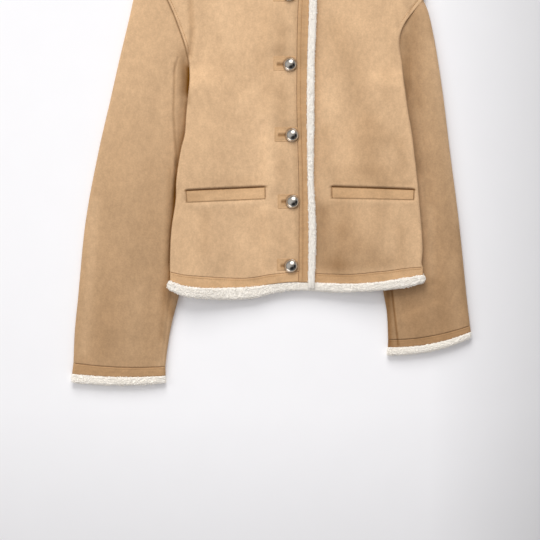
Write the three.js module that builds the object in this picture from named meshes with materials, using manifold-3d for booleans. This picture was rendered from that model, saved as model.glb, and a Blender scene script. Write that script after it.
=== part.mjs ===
// A short collarless suede jacket with shearling edges, buttoned and laid flat on its back.
// Millimetres. X runs to the wearer's left, Y towards the neck, Z up from the surface it lies on.
// The origin is on the flat underside of the back, below the second button.
import * as THREE from "three";
import { mergeVertices } from "three/addons/utils/BufferGeometryUtils.js";
import Module from "manifold-3d";

const wasm = await Module();
wasm.setup();

// Cloth: suede bonded to shearling pile.
const WALL = 4.5; // suede and pile together
const ARMHOLE_SEAM = 0.6; // space between a sleeve's end and the panels' curved edges
const SEAM = 0.35; // space between two pieces sewn edge to edge
const PLY = 0.5; // space between two layers that lie on each other
const HOLLOW = 0.7; // space left inside a flattened sleeve
const SLEEVE_HIGH = 2 * WALL + HOLLOW;
const RISE = SLEEVE_HIGH + PLY; // how far the body climbs to lie on a tucked sleeve
const RISE_RUN = 60; // length of that climb
const LAP_RUN = 24; // length of the right front's climb over the left front
const LAP_CLEAR = 6; // how far short of the left front's edge that climb ends
const SLACK = 1.6; // how far the fronts stand off the back where nothing pulls them down

// Edges
const FOLD_ROUND = 2.4; // rounding of a wall's free edge
const SEAM_ROUND = 1.4; // rounding of a wall's edge at a seam
const TUBE_ROUND = 6.5; // rounding of a flattened sleeve's folds
const BACK_TRIM_HIGH = 6.6;
const TRIM_HIGH = 7.6;
const CUFF_TRIM_HIGH = 12;
const TRIM_PAST = { rightHem: 4.5, leftHem: 3.5, backHem: 2 }; // how far hem trims pass the sides

// Neckline: two half ellipses through the points where the shoulder seams end
const NECK = { y: 303, half: 90, frontDrop: 78, backDrop: 20, seam: 0.9, trim: 12, endGap: 0.03 };
const UNDERLAP_X = -27; // edge of the left front, under the right front

// Buttons, and the patches their holes are made in
const BUTTON = {
  radius: 9.6, high: 6.4, rim: 1.3, domeSteps: 4, sides: 16,
  shank: 1.9, shankHole: 2.4, shankSides: 8,
};
const PATCH = { thick: 1.5, slitWide: 1.1, slitReach: 18 };
const LYING = 0.45; // space under what lies on a front
const WELT_THICK = 2.6;

const SUEDE = { color: 0xc9a579, roughness: 0.95, metalness: 0 };
const SUEDE_BAND = { color: 0xd2ab7c, roughness: 0.95, metalness: 0 };
const SHEARLING = { color: 0xefe8df, roughness: 1, metalness: 0 };
const SILVER = { color: 0xd5d3d0, roughness: 0.15, metalness: 1 };

// Outlines. Each row is a point of the edge, in order.
const RIGHT_SIDE = [
  // x, y, up the side seam from the hem to the armpit
  [-188.3, -213], [-188, -187], [-186, -150], [-179.4, -104], [-178.8, -78], [-176, -55],
  [-170.9, -26], [-166.2, -8], [-164, 21], [-161.6, 46], [-158.9, 75], [-159.9, 97.5],
];
const RIGHT_ARMHOLE = [
  // x, y, from the armpit to the end of the shoulder seam
  [-159.9, 97.5], [-165.6, 123.6], [-171.6, 141.6], [-183.8, 174.3], [-193.2, 195],
  [-209, 225], [-229.5, 258],
];
const LEFT_SIDE = [
  [189.9, -206], [187.9, -202], [189.3, -180], [183.9, -104], [180.8, -70], [177, -38],
  [173.3, -7], [167.7, 25.5], [163.4, 55.5], [160.8, 75.6], [158.9, 99.3],
];
const LEFT_ARMHOLE = [
  [158.9, 99.3], [155.4, 124], [157, 145], [164, 161], [176, 177], [190.4, 195],
];
const LEFT_SHOULDER = [
  [190.4, 195], [192.6, 206], [191, 224], [184, 241],
];
const RIGHT_SLEEVE_OUTER = [
  // x, y, from the cuff seam to the shoulder
  [-333.6, -349.5], [-331.5, -300], [-327, -255], [-315, -135], [-295.5, -30], [-278.3, 45],
  [-264.8, 105], [-250.5, 165], [-243.8, 195], [-229.8, 258],
];
const RIGHT_SLEEVE_INNER = [
  // x, y, from the cuff seam, under the body's side, to the armpit
  [-195.8, -354.6], [-193.2, -320], [-186.4, -266], [-178.3, -249], [-163, -205], [-151, -140],
  [-145, -70], [-143, -20], [-148, 22], [-158, 45], [-163, 60], [-160.4, 76], [-161.5, 97.2],
];
const LEFT_SLEEVE_OUTER = [
  [260.8, -293.5], [256.5, -258], [243.8, -135], [230.3, -30], [221.3, 45], [215.1, 88],
  [206.4, 140], [197.1, 180], [191.9, 195.5],
];
const LEFT_SLEEVE_INNER = [
  [138, -314.5], [136.1, -274], [130.5, -240], [126, -190], [125, -120], [126, -60],
  [134, -10], [150, 25], [161, 40], [165.2, 52], [162.6, 76], [160.6, 99],
];

// The hem. Each row is a station across it: the band's seam, its lower edge, the trim's lower
// edge, and how far the fronts lift off the back there.
const HEM = [
  { x: -189, seam: -213, edge: -226.5, trim: -240, lift: 1.6 },
  { x: -168, seam: -217.5, edge: -233.5, trim: -248.4, lift: 2.2 },
  { x: -139, seam: -220, edge: -237, trim: -251.5, lift: 3 },
  { x: -106, seam: -222, edge: -236.8, trim: -253, lift: 3.6 },
  { x: -77, seam: -222.5, edge: -236, trim: -252.4, lift: 3.2 },
  { x: -58, seam: -220.5, edge: -234.6, trim: -250.8, lift: 2.6 },
  { x: -41, seam: -217.4, edge: -231.8, trim: -246.2, lift: 2 },
  { x: -17, seam: -214.6, edge: -228.8, trim: -241.8, lift: 1.7 },
  { x: 4, seam: -212.6, edge: -228, trim: -240.4, lift: 1.6 },
  { x: 30, seam: -215.3, edge: -229.4, trim: -241.2, lift: 1.8 },
  { x: 60, seam: -216.4, edge: -230.4, trim: -243.3, lift: 2.8 },
  { x: 86, seam: -216.5, edge: -230.7, trim: -242.8, lift: 3.2 },
  { x: 120, seam: -213.2, edge: -228.6, trim: -240.8, lift: 2.6 },
  { x: 140, seam: -211.2, edge: -225.9, trim: -239, lift: 2 },
  { x: 166, seam: -207.5, edge: -221.3, trim: -235.6, lift: 1.7 },
  { x: 191, seam: -205.5, edge: -217.5, trim: -229, lift: 1.6 },
];
const HEM_LIFT_RUN = 110; // how far above the hem the fronts come down again
const BACK_HEM_SHORT = 3; // the back's hem ends a little short of the fronts'

// The front edge. Each row is a station down it: the band's inner seam, its outer edge, the
// trim's outer edge.
const FRONT_EDGE = [
  { y: 225, seam: 4.2, edge: 20.4, trim: 32.4 },
  { y: 195, seam: 3.6, edge: 19.7, trim: 31.2 },
  { y: 150, seam: 2, edge: 18.6, trim: 30 },
  { y: 105, seam: 1.4, edge: 17, trim: 28 },
  { y: 30, seam: 1.4, edge: 16.2, trim: 27.4 },
  { y: -75, seam: 4.2, edge: 17.3, trim: 26.4 },
  { y: -117, seam: 4.6, edge: 18.3, trim: 28.8 },
  { y: -165, seam: 4.6, edge: 18.8, trim: 30 },
  { y: -228, seam: 4.2, edge: 17.9, trim: 28 },
];

// Cuffs: the curved seam of the band, its edge and the trim's edge, each by its outer end, its
// inner end and how far it bows towards the hand.
const RIGHT_CUFF = [
  { outer: [-333.6, -349.5], inner: [-195.8, -354.6], bow: 2 },
  { outer: [-335.8, -365.6], inner: [-195.4, -368.4], bow: 3.4 },
  { outer: [-336.2, -378.4], inner: [-195.4, -379.4], bow: 3.8 },
];
const LEFT_CUFF = [
  { outer: [260.8, -293.5], inner: [138, -314.5], bow: 5.5 },
  { outer: [262, -302.6], inner: [137.4, -325.8], bow: 7 },
  { outer: [261.4, -312], inner: [135.9, -337.4], bow: 7.4 },
];

// Soft folds of the fronts. Each row is a ridge, or a trough where high is negative, from one
// point to another.
const FOLDS = [
  { from: [-158, 235], to: [-155, 112], wide: 10, high: 3 },
  { from: [-172, 150], to: [-158, 112], wide: 8, high: 1.2 },
  { from: [155, 130], to: [158, 236], wide: 12, high: 4 },
  { from: [-78, 52], to: [-44, 16], wide: 20, high: 1.4 },
  { from: [-60, 100], to: [-18, 118], wide: 16, high: -1.2 },
  { from: [-62, -10], to: [-22, 10], wide: 16, high: -1.2 },
  { from: [-58, -116], to: [-22, -98], wide: 14, high: -1.1 },
  { from: [44, -210], to: [52, -70], wide: 14, high: -1.4 },
  { from: [70, 150], to: [118, 60], wide: 24, high: 2.4 },
  { from: [-118, 120], to: [-96, -30], wide: 26, high: 2.2 },
  { from: [120, -60], to: [106, -200], wide: 26, high: 1.8 },
];

// Buttons: the centre of each, and the patch beside it by its left, right, top and bottom.
const BUTTONS = [
  { x: -9.6, y: 202.5, left: -34.5, right: 0.6, top: 213, bottom: 192 },
  { x: -9, y: 97.5, left: -33.9, right: 0.6, top: 109.6, bottom: 88.6 },
  { x: -6, y: -8.2, left: -32.2, right: 2.6, top: 3.6, bottom: -18 },
  { x: -5.2, y: -107.8, left: -27.4, right: 3, top: -97, bottom: -118.2 },
  { x: -7.4, y: -204, left: -28.5, right: 2.6, top: -193.4, bottom: -210.8 },
];
const WELTS = {
  right: [[-163.2, -109], [-45.8, -103.5], [-165, -92], [-46.2, -86.3]],
  left: [[53.7, -102.5], [175.8, -105.2], [53, -86], [177, -90.5]],
};

// How finely each piece is gridded
const OUTLINE_STEPS = 20;
const BACK_GRID = { across: 15, along: OUTLINE_STEPS };
const RIGHT_FRONT_GRID = { across: 13, along: OUTLINE_STEPS };
const LEFT_FRONT_GRID = { across: 13, along: OUTLINE_STEPS };
const SLEEVE_GRID = { across: 7, along: 16 };
const FRONT_EDGE_STEPS = 15;
const CUFF_STEPS = 7;
const WELT_STEPS = 8;

// Roundings of the trims: at their two ends, their outer edge and their seam
const HEM_TRIM_ROUNDS = [8, 8, 7, 5];
const FRONT_TRIM_ROUNDS = [4, 4, 6, 4];
const NECK_TRIM_ROUNDS = [5, 5, 5, 6];
const WELT_ROUNDS = [2, 2, 2.6, 2.6];
const BACK_TRIM_REACH = 74; // half the length of the back neck's trim
const TRIM_GAP = 2; // along the neckline, between the two fronts' trims
const ARMPIT_RUN = 38; // the body climbs onto the sleeves over this length below the armpits
const TUCK_SHY = 5; // how far inside a sleeve's inner fold the body still lies level
const TUCK_TOP = 20; // above this height a sleeve's fold no longer sets the body's climb
const FOLD_FULL = 0.7; // the share of a soft fold's length that has its full height
const FOLD_FADE = 0.35; // the share over which it dies away
const SLEEVE_PUFF = 5; // how far a sleeve's top layer swells off its under layer
const HOLLOW_SWELL = 0.5; // the share of it that is space; the rest is the pile's own loft
const COVER_FROM = -292; // the height from which the body begins to press on a sleeve
const COVER_RUN = 40;
const COVER_SHY = 16; // how far outside the body's side the swell ends
const PUFF_AT_ARMHOLE = 0.3; // the share of the swell that is left at the armhole
const PUFF_FADE = 60; // how far above and below the armpit it goes down to that

const clamp = (t) => Math.min(1, Math.max(0, t));
const smooth = (t) => clamp(t) ** 2 * (3 - 2 * clamp(t));
const mix = (a, b, t) => a + (b - a) * t;
const mixPoint = (p, q, t) => [mix(p[0], q[0], t), mix(p[1], q[1], t)];
const apart = (p, q) => Math.hypot(q[0] - p[0], q[1] - p[1]);

// One column of a table as a smooth function of its key column, flat beyond the table's ends.
function column(table, key, name) {
  const rows = [...table].sort((a, b) => a[key] - b[key]);
  const xs = rows.map((row) => row[key]);
  const ys = rows.map((row) => row[name]);
  const last = xs.length - 1;
  const slope = xs.map((_, i) => {
    const [a, b] = [Math.max(0, i - 1), Math.min(last, i + 1)];
    return (ys[b] - ys[a]) / (xs[b] - xs[a]);
  });
  return (at) => {
    if (at <= xs[0]) return ys[0];
    if (at >= xs[last]) return ys[last];
    const i = xs.findIndex((x) => x > at) - 1;
    const run = xs[i + 1] - xs[i];
    const t = (at - xs[i]) / run;
    const rise = 3 * t ** 2 - 2 * t ** 3;
    const lean = run * (slope[i] * t * (1 - t) ** 2 - slope[i + 1] * t ** 2 * (1 - t));
    return mix(ys[i], ys[i + 1], rise) + lean;
  };
}
const hem = Object.fromEntries(
  ["seam", "edge", "trim", "lift"].map((name) => [name, column(HEM, "x", name)]),
);
const frontEdge = Object.fromEntries(
  ["seam", "edge", "trim"].map((name) => [name, column(FRONT_EDGE, "y", name)]),
);

// A smooth curve through points, as a function of the share of its length.
function curve(points) {
  const path = new THREE.CatmullRomCurve3(
    points.map(([x, y]) => new THREE.Vector3(x, y, 0)),
    false,
    "centripetal",
  );
  path.arcLengthDivisions = 40 * points.length;
  return (t) => {
    const p = path.getPointAt(clamp(t));
    return [p.x, p.y];
  };
}

// A curve whose ends each share a part of its parameter: first up to share, then second.
const joined = (first, second, share) => (t) =>
  t < share ? first(t / share) : second((t - share) / (1 - share));

const line = (p, q) => (t) => mixPoint(p, q, t);

// Where a level line at height y crosses an edge given by points that rise in y.
function edgeAt(points, y) {
  const after = points.findIndex((p) => p[1] >= y);
  if (after === 0) return points[0][0];
  if (after < 0) return points[points.length - 1][0];
  const [a, b] = [points[after - 1], points[after]];
  return mix(a[0], b[0], (y - a[1]) / (b[1] - a[1]));
}

// How far the body is lifted by the sleeves that are tucked under its sides.
const TUCKS = [
  { inner: RIGHT_SLEEVE_INNER, side: 1, armpit: 97.5 },
  { inner: LEFT_SLEEVE_INNER, side: -1, armpit: 99.3 },
];
function sleeveLift(x, y) {
  let lift = 0;
  for (const tuck of TUCKS) {
    const down = smooth((tuck.armpit - y) / ARMPIT_RUN);
    const inside = tuck.side * (x - edgeAt(tuck.inner, Math.min(y, TUCK_TOP))) - TUCK_SHY;
    lift += RISE * down * smooth(1 - inside / RISE_RUN);
  }
  return lift;
}

// A point's distance off a fold's line, and its place along it as a share of its length.
function foldAt(fold, x, y) {
  const [ax, ay] = fold.from;
  const run = [fold.to[0] - ax, fold.to[1] - ay];
  const length = Math.hypot(...run);
  const along = ((x - ax) * run[0] + (y - ay) * run[1]) / length ** 2;
  const off = ((x - ax) * run[1] - (y - ay) * run[0]) / length;
  return { along, off };
}

// How far the fronts stand off the back: the slack, the hem's waves and the soft folds.
function drape(x, y) {
  const aboveHem = (y - hem.edge(x)) / HEM_LIFT_RUN;
  let high = SLACK + (hem.lift(x) - SLACK) * smooth(1 - aboveHem);
  for (const fold of FOLDS) {
    const { along, off } = foldAt(fold, x, y);
    const beyond = Math.max(0, Math.abs(2 * along - 1) - FOLD_FULL);
    const fade = Math.exp(-((beyond / FOLD_FADE) ** 2));
    high += fold.high * fade * Math.exp(-((off / fold.wide) ** 2));
  }
  return Math.max(0, high);
}

const backBase = sleeveLift;
const leftBase = (x, y) => sleeveLift(x, y) + WALL + PLY + drape(x, y);
const overlap = (x) => (WALL + PLY) * smooth((x - UNDERLAP_X + LAP_CLEAR + LAP_RUN) / LAP_RUN);
const rightBase = (x, y) => leftBase(x, y) + overlap(x);
const frontTrimBase = (x, y) =>
  sleeveLift(x, y) + BACK_TRIM_HIGH + PLY + Math.max(0, drape(x, y) - SLACK);

// A piece's plan between four edges: left and right run up, bottom and top run across.
function patch({ left, right, bottom, top }) {
  const corner = [bottom(0), bottom(1), top(0), top(1)];
  return (u, v) =>
    [0, 1].map(
      (k) =>
        mix(bottom(u)[k], top(u)[k], v) +
        mix(left(v)[k], right(v)[k], u) -
        mix(mix(corner[0][k], corner[1][k], u), mix(corner[2][k], corner[3][k], u), v),
    );
}

// Stations from 0 to 1 along a length: even ones, and closer ones where an end is rounded.
function stations(count, length, startRound, endRound) {
  const share = (r) => Math.min(r / length, 0.5 / count);
  const [a, b] = [share(startRound), share(endRound)];
  const start = a > 0 ? [0, 0.3 * a] : [0];
  const end = b > 0 ? [1 - 0.3 * b, 1] : [1];
  const even = Array.from({ length: count + 1 }, (_, i) => mix(a, 1 - b, i / count));
  return [...start, ...even, ...end].filter((t, i, all) => i === 0 || t - all[i - 1] > 1e-6);
}

// The fullness of a rounded edge: 0 at the edge, 1 from its rounding inwards.
const full = (distance, round) =>
  round > 0 ? Math.sqrt(1 - (1 - clamp(distance / round)) ** 2) : 1;

// A grid of points over a plan, with the fullness of the piece at each.
function planGrid({ plan, across, along, rounds }) {
  const [left, right, bottom, top] = rounds;
  const wide = apart(plan(0, 0), plan(1, 0));
  const tall = apart(plan(0, 0), plan(0, 1));
  const us = stations(across, wide, left, right);
  const vs = stations(along, tall, bottom, top);
  return vs.map((v) =>
    us.map((u) => {
      const p = plan(u, v);
      const fill =
        full(apart(p, plan(0, v)), left) *
        full(apart(p, plan(1, v)), right) *
        full(apart(p, plan(u, 0)), bottom) *
        full(apart(p, plan(u, 1)), top);
      return { x: p[0], y: p[1], fill };
    }),
  );
}

// Adds the two triangles of every cell of a grid, with diagonals that run into its corners.
function addGrid(triangles, grid, up) {
  const rows = grid.length - 1;
  const cells = grid[0].length - 1;
  for (let j = 0; j < rows; j++)
    for (let i = 0; i < cells; i++) {
      const [a, b] = [grid[j][i], grid[j][i + 1]];
      const [d, c] = [grid[j + 1][i], grid[j + 1][i + 1]];
      const rising = i < cells / 2 === j < rows / 2;
      const cut = rising ? [a, b, c, a, c, d] : [a, b, d, b, c, d];
      triangles.push(...(up ? cut : cut.reverse()));
    }
}

function geometryOf(triangles) {
  const geometry = new THREE.BufferGeometry();
  geometry.setAttribute("position", new THREE.Float32BufferAttribute(triangles.flat(), 3));
  return mergeVertices(geometry, 1e-3);
}

// A wall of cloth or pile over a plan, lying on a base, with rounded edges.
function wall({ plan, across, along, rounds, base, thick }) {
  const grid = planGrid({ plan, across, along, rounds });
  const face = (side) =>
    grid.map((row) =>
      row.map(({ x, y, fill }) => [x, y, base(x, y) + (thick / 2) * (1 + side * fill)]),
    );
  const triangles = [];
  addGrid(triangles, face(1), true);
  addGrid(triangles, face(-1), false);
  return geometryOf(triangles);
}

// The closed loop round a grid row of an upper and a lower face.
const loopOf = (upper, lower) => [...upper, ...lower.slice(1, -1).reverse()];

// A flattened tube over a plan, open at both ends: two layers joined by rounded folds.
function flatTube({ plan, across, along, high, puff }) {
  const rounds = [TUBE_ROUND, TUBE_ROUND, 0, 0];
  const outside = planGrid({ plan, across, along, rounds });
  const wide = apart(plan(0, 0.5), plan(1, 0.5));
  const inset = WALL / wide;
  const innerPlan = (u, v) => plan(mix(inset, 1 - inset, u), v);
  const inside = planGrid({ plan: innerPlan, across, along, rounds });
  const skin = (grid, half, swell) =>
    grid.map((row) =>
      row.map(({ x, y, fill }) => [x, y, high / 2 + fill * (half + swell * puff(x, y))]),
    );
  const top = skin(outside, high / 2, 1);
  const bottom = skin(outside, -high / 2, 0);
  const hollowTop = skin(inside, HOLLOW / 2, HOLLOW_SWELL);
  const hollowBottom = skin(inside, -HOLLOW / 2, 0);
  const triangles = [];
  addGrid(triangles, top, true);
  addGrid(triangles, bottom, false);
  addGrid(triangles, hollowTop, false);
  addGrid(triangles, hollowBottom, true);
  for (const end of [0, top.length - 1]) {
    const outer = loopOf(top[end], bottom[end]);
    const inner = loopOf(hollowTop[end], hollowBottom[end]);
    outer.forEach((a, i) => {
      const next = (i + 1) % outer.length;
      const cut = [a, inner[i], outer[next], outer[next], inner[i], inner[next]];
      triangles.push(...(end === 0 ? cut : cut.reverse()));
    });
  }
  return geometryOf(triangles);
}

// Solids for cutting and joining
function solidOf(geometry) {
  const bare = geometry.clone();
  bare.deleteAttribute("normal");
  bare.deleteAttribute("uv");
  const merged = mergeVertices(bare, 1e-3);
  return new wasm.Manifold(
    new wasm.Mesh({
      numProp: 3,
      vertProperties: merged.attributes.position.array,
      triVerts: new Uint32Array(merged.index.array),
    }),
  );
}

function geometryFrom(solid) {
  const mesh = solid.getMesh();
  const geometry = new THREE.BufferGeometry();
  geometry.setAttribute("position", new THREE.BufferAttribute(mesh.vertProperties, 3));
  geometry.setIndex(new THREE.BufferAttribute(mesh.triVerts, 1));
  return geometry;
}

const jacket = new THREE.Group();

function add(name, geometry, finish) {
  geometry.computeVertexNormals();
  const mesh = new THREE.Mesh(geometry, new THREE.MeshStandardMaterial(finish));
  mesh.name = name;
  jacket.add(mesh);
  return mesh;
}

// The neckline: points of the front's or back's half ellipse, by its drop and how far inside
// the neck's edge it runs.
const neckPoint = (drop, inset) => (angle) => [
  (NECK.half - inset) * Math.sin(angle),
  NECK.y - (drop - inset) * Math.cos(angle),
];
const neckArc = (drop, inset, from, to) => (t) => neckPoint(drop, inset)(mix(from, to, t));
const neckAngle = (x, inset = 0) => Math.asin(x / (NECK.half - inset));
const QUARTER = Math.PI / 2;

const RIGHT_SHOULDER_END = RIGHT_ARMHOLE[RIGHT_ARMHOLE.length - 1];
const LEFT_SHOULDER_END = LEFT_SHOULDER[LEFT_SHOULDER.length - 1];
const RIGHT_NECK_END = [-NECK.half, NECK.y];
const LEFT_NECK_END = [NECK.half, NECK.y];
const RIGHT_HEM_X = RIGHT_SIDE[0][0];
const LEFT_HEM_X = LEFT_SIDE[0][0];

// A side seam that starts on the hem's seam
const fromHem = ([first, ...rest]) => [[first[0], hem.seam(first[0])], ...rest];
const rightOutline = curve([...fromHem(RIGHT_SIDE), ...RIGHT_ARMHOLE.slice(1)]);
const leftOutline = curve([
  ...fromHem(LEFT_SIDE),
  ...LEFT_ARMHOLE.slice(1),
  ...LEFT_SHOULDER.slice(1),
]);

const hemLine = (name, from, to, aside = 0) => (t) => {
  const x = mix(from, to, t);
  return [x, hem[name](x) + aside];
};
const edgeLine = (name, from, to, aside = 0) => (t) => {
  const y = mix(from, to, t);
  return [frontEdge[name](y) + aside, y];
};

// Where the front edge band's inner seam meets the hem's seam, and where it meets the neckline
const BAND_FOOT_X = frontEdge.seam(FRONT_EDGE[FRONT_EDGE.length - 1].y);
const BAND_FOOT_Y = hem.seam(BAND_FOOT_X);
const BAND_TOP_X = frontEdge.seam(FRONT_EDGE[0].y);
const BAND_TOP_Y = neckPoint(NECK.frontDrop, 0)(neckAngle(BAND_TOP_X))[1];

function rightFront() {
  const neck = neckArc(NECK.frontDrop, 0, -QUARTER, neckAngle(BAND_TOP_X));
  const plan = patch({
    left: rightOutline,
    right: edgeLine("seam", BAND_FOOT_Y, BAND_TOP_Y),
    bottom: hemLine("seam", RIGHT_HEM_X, BAND_FOOT_X),
    top: joined(line(RIGHT_SHOULDER_END, RIGHT_NECK_END), neck, 0.52),
  });
  const rounds = [FOLD_ROUND, SEAM_ROUND, SEAM_ROUND, FOLD_ROUND];
  return wall({ plan, ...RIGHT_FRONT_GRID, rounds, base: rightBase, thick: WALL });
}

function leftFront() {
  const [underX, underTop] = neckPoint(NECK.frontDrop, 0)(neckAngle(UNDERLAP_X));
  const neck = neckArc(NECK.frontDrop, 0, neckAngle(UNDERLAP_X), QUARTER);
  const plan = patch({
    left: line([underX, hem.seam(underX)], [underX, underTop]),
    right: leftOutline,
    bottom: hemLine("seam", UNDERLAP_X, LEFT_HEM_X),
    top: joined(neck, line(LEFT_NECK_END, LEFT_SHOULDER_END), 0.56),
  });
  const rounds = [SEAM_ROUND, FOLD_ROUND, SEAM_ROUND, FOLD_ROUND];
  return wall({ plan, ...LEFT_FRONT_GRID, rounds, base: leftBase, thick: WALL });
}

function back() {
  const neck = neckArc(NECK.backDrop, 0, -QUARTER, QUARTER);
  const plan = patch({
    left: rightOutline,
    right: leftOutline,
    bottom: hemLine("seam", RIGHT_HEM_X, LEFT_HEM_X),
    top: joined(
      line(RIGHT_SHOULDER_END, RIGHT_NECK_END),
      joined(neck, line(LEFT_NECK_END, LEFT_SHOULDER_END), 0.62),
      0.32,
    ),
  });
  const rounds = [FOLD_ROUND, FOLD_ROUND, SEAM_ROUND, FOLD_ROUND];
  return wall({ plan, ...BACK_GRID, rounds, base: backBase, thick: WALL });
}

// The plan between two lines that run the same way.
const between = (bottom, top) =>
  patch({ left: line(bottom(0), top(0)), right: line(bottom(1), top(1)), bottom, top });

const strip = ({ bottom, top, ...rest }) =>
  wall({ plan: between(bottom, top), along: 1, ...rest });

function addHem() {
  const bands = [
    {
      name: "hem_band_right_front", from: RIGHT_HEM_X, to: BAND_FOOT_X, base: rightBase,
      rounds: [FOLD_ROUND, SEAM_ROUND, SEAM_ROUND, SEAM_ROUND], short: 0,
      across: RIGHT_FRONT_GRID.across,
    },
    {
      name: "hem_band_left_front", from: UNDERLAP_X, to: LEFT_HEM_X, base: leftBase,
      rounds: [SEAM_ROUND, FOLD_ROUND, SEAM_ROUND, SEAM_ROUND], short: 0,
      across: LEFT_FRONT_GRID.across,
    },
    {
      name: "hem_band_back", from: RIGHT_HEM_X, to: LEFT_HEM_X, base: backBase,
      rounds: [FOLD_ROUND, FOLD_ROUND, SEAM_ROUND, SEAM_ROUND], short: BACK_HEM_SHORT,
      across: BACK_GRID.across,
    },
  ];
  for (const { name, from, to, short, ...rest } of bands) {
    const bottom = hemLine("edge", from, to, short);
    const top = hemLine("seam", from, to, -SEAM);
    add(name, strip({ bottom, top, thick: WALL, ...rest }), SUEDE_BAND);
  }
  const corner = frontEdge.trim(FRONT_EDGE[FRONT_EDGE.length - 1].y);
  const trims = [
    {
      name: "hem_trim_right_front", from: RIGHT_HEM_X - TRIM_PAST.rightHem, to: corner,
      across: 14, base: frontTrimBase, thick: TRIM_HIGH, short: 0,
    },
    {
      name: "hem_trim_left_front", from: corner + SEAM, to: LEFT_HEM_X + TRIM_PAST.leftHem,
      across: 11, base: frontTrimBase, thick: TRIM_HIGH, short: 0,
    },
    {
      name: "hem_trim_back", from: RIGHT_HEM_X - TRIM_PAST.backHem,
      to: LEFT_HEM_X + TRIM_PAST.backHem, across: 16, base: backBase,
      thick: BACK_TRIM_HIGH, short: BACK_HEM_SHORT,
    },
  ];
  for (const { name, from, to, short, ...rest } of trims) {
    const bottom = hemLine("trim", from, to, short);
    const top = hemLine("edge", from, to, short - SEAM);
    add(name, strip({ bottom, top, along: 2, rounds: HEM_TRIM_ROUNDS, ...rest }), SHEARLING);
  }
}

// A line down the front edge, from the neckline to a height
function frontEdgeLine(name, foot, aside) {
  const x = frontEdge[name](BAND_TOP_Y) + aside;
  const top = neckPoint(NECK.frontDrop, 0)(neckAngle(x))[1];
  return edgeLine(name, foot, top, aside);
}

function addFrontEdge() {
  const foot = hem.edge(frontEdge.edge(BAND_FOOT_Y));
  const common = { across: FRONT_EDGE_STEPS, base: rightBase };
  const lines = (outer, inner, low) => ({
    bottom: frontEdgeLine(outer, low, 0), top: frontEdgeLine(inner, low, SEAM),
  });
  add("front_edge_band", strip({
    ...common, ...lines("edge", "seam", foot), thick: WALL,
    rounds: [SEAM_ROUND, FOLD_ROUND, SEAM_ROUND, SEAM_ROUND],
  }), SUEDE_BAND);
  add("front_edge_trim", strip({
    ...common, ...lines("trim", "edge", foot + SEAM), thick: TRIM_HIGH, along: 2,
    rounds: FRONT_TRIM_ROUNDS,
  }), SHEARLING);
}

function addNeckTrims() {
  const outerX = frontEdge.trim(FRONT_EDGE[0].y);
  const trims = [
    {
      name: "neck_trim_right_front", drop: NECK.frontDrop, from: NECK.endGap - QUARTER,
      to: neckAngle(outerX), base: rightBase, thick: TRIM_HIGH, across: 9,
    },
    {
      name: "neck_trim_left_front", drop: NECK.frontDrop, from: neckAngle(outerX + TRIM_GAP),
      to: QUARTER - NECK.endGap, base: leftBase, thick: TRIM_HIGH, across: 7,
    },
    {
      name: "neck_trim_back", drop: NECK.backDrop, from: -neckAngle(BACK_TRIM_REACH),
      to: neckAngle(BACK_TRIM_REACH), base: backBase, thick: BACK_TRIM_HIGH, across: 8,
    },
  ];
  for (const { name, drop, from, to, ...rest } of trims) {
    const bottom = neckArc(drop, NECK.seam, from, to);
    const top = neckArc(drop, NECK.trim, from, to);
    add(name, strip({ bottom, top, along: 2, rounds: NECK_TRIM_ROUNDS, ...rest }), SHEARLING);
  }
}

// A cuff line from its outer to its inner end, bowed and moved towards the hand.
function bowed({ outer, inner, bow }, aside = 0) {
  const run = [inner[0] - outer[0], inner[1] - outer[1]];
  const hand = -Math.sign(run[0]) / Math.hypot(...run);
  const down = [-hand * run[1], hand * run[0]];
  return (t) => {
    const push = 4 * bow * t * (1 - t) + aside;
    const [x, y] = mixPoint(outer, inner, t);
    return [x + push * down[0], y + push * down[1]];
  };
}

// An edge moved sideways by a distance, to its left where the distance is positive.
function moved(points, aside) {
  return points.map((p, i) => {
    const a = points[Math.max(0, i - 1)];
    const b = points[Math.min(points.length - 1, i + 1)];
    const length = apart(a, b);
    return [p[0] - ((b[1] - a[1]) / length) * aside, p[1] + ((b[0] - a[0]) / length) * aside];
  });
}

// The height that a sleeve's top layer stands off its under layer: a soft swell between its
// outer fold and its inner one, or the body's side where that lies on it.
function puffOf({ outer, inner, side, armpit }) {
  const shy = COVER_SHY * Math.sign(outer[0][0]);
  return (x, y) => {
    const from = edgeAt(outer, y);
    const fold = edgeAt(inner, y);
    const cover = smooth((y - COVER_FROM) / COVER_RUN);
    const to = mix(fold, edgeAt(side, y) + shy, cover);
    const share = clamp((x - from) / (to - from));
    const free = smooth((armpit + PUFF_FADE - y) / (2 * PUFF_FADE));
    return SLEEVE_PUFF * Math.sin(Math.PI * share) * mix(PUFF_AT_ARMHOLE, 1, free);
  };
}

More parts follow.
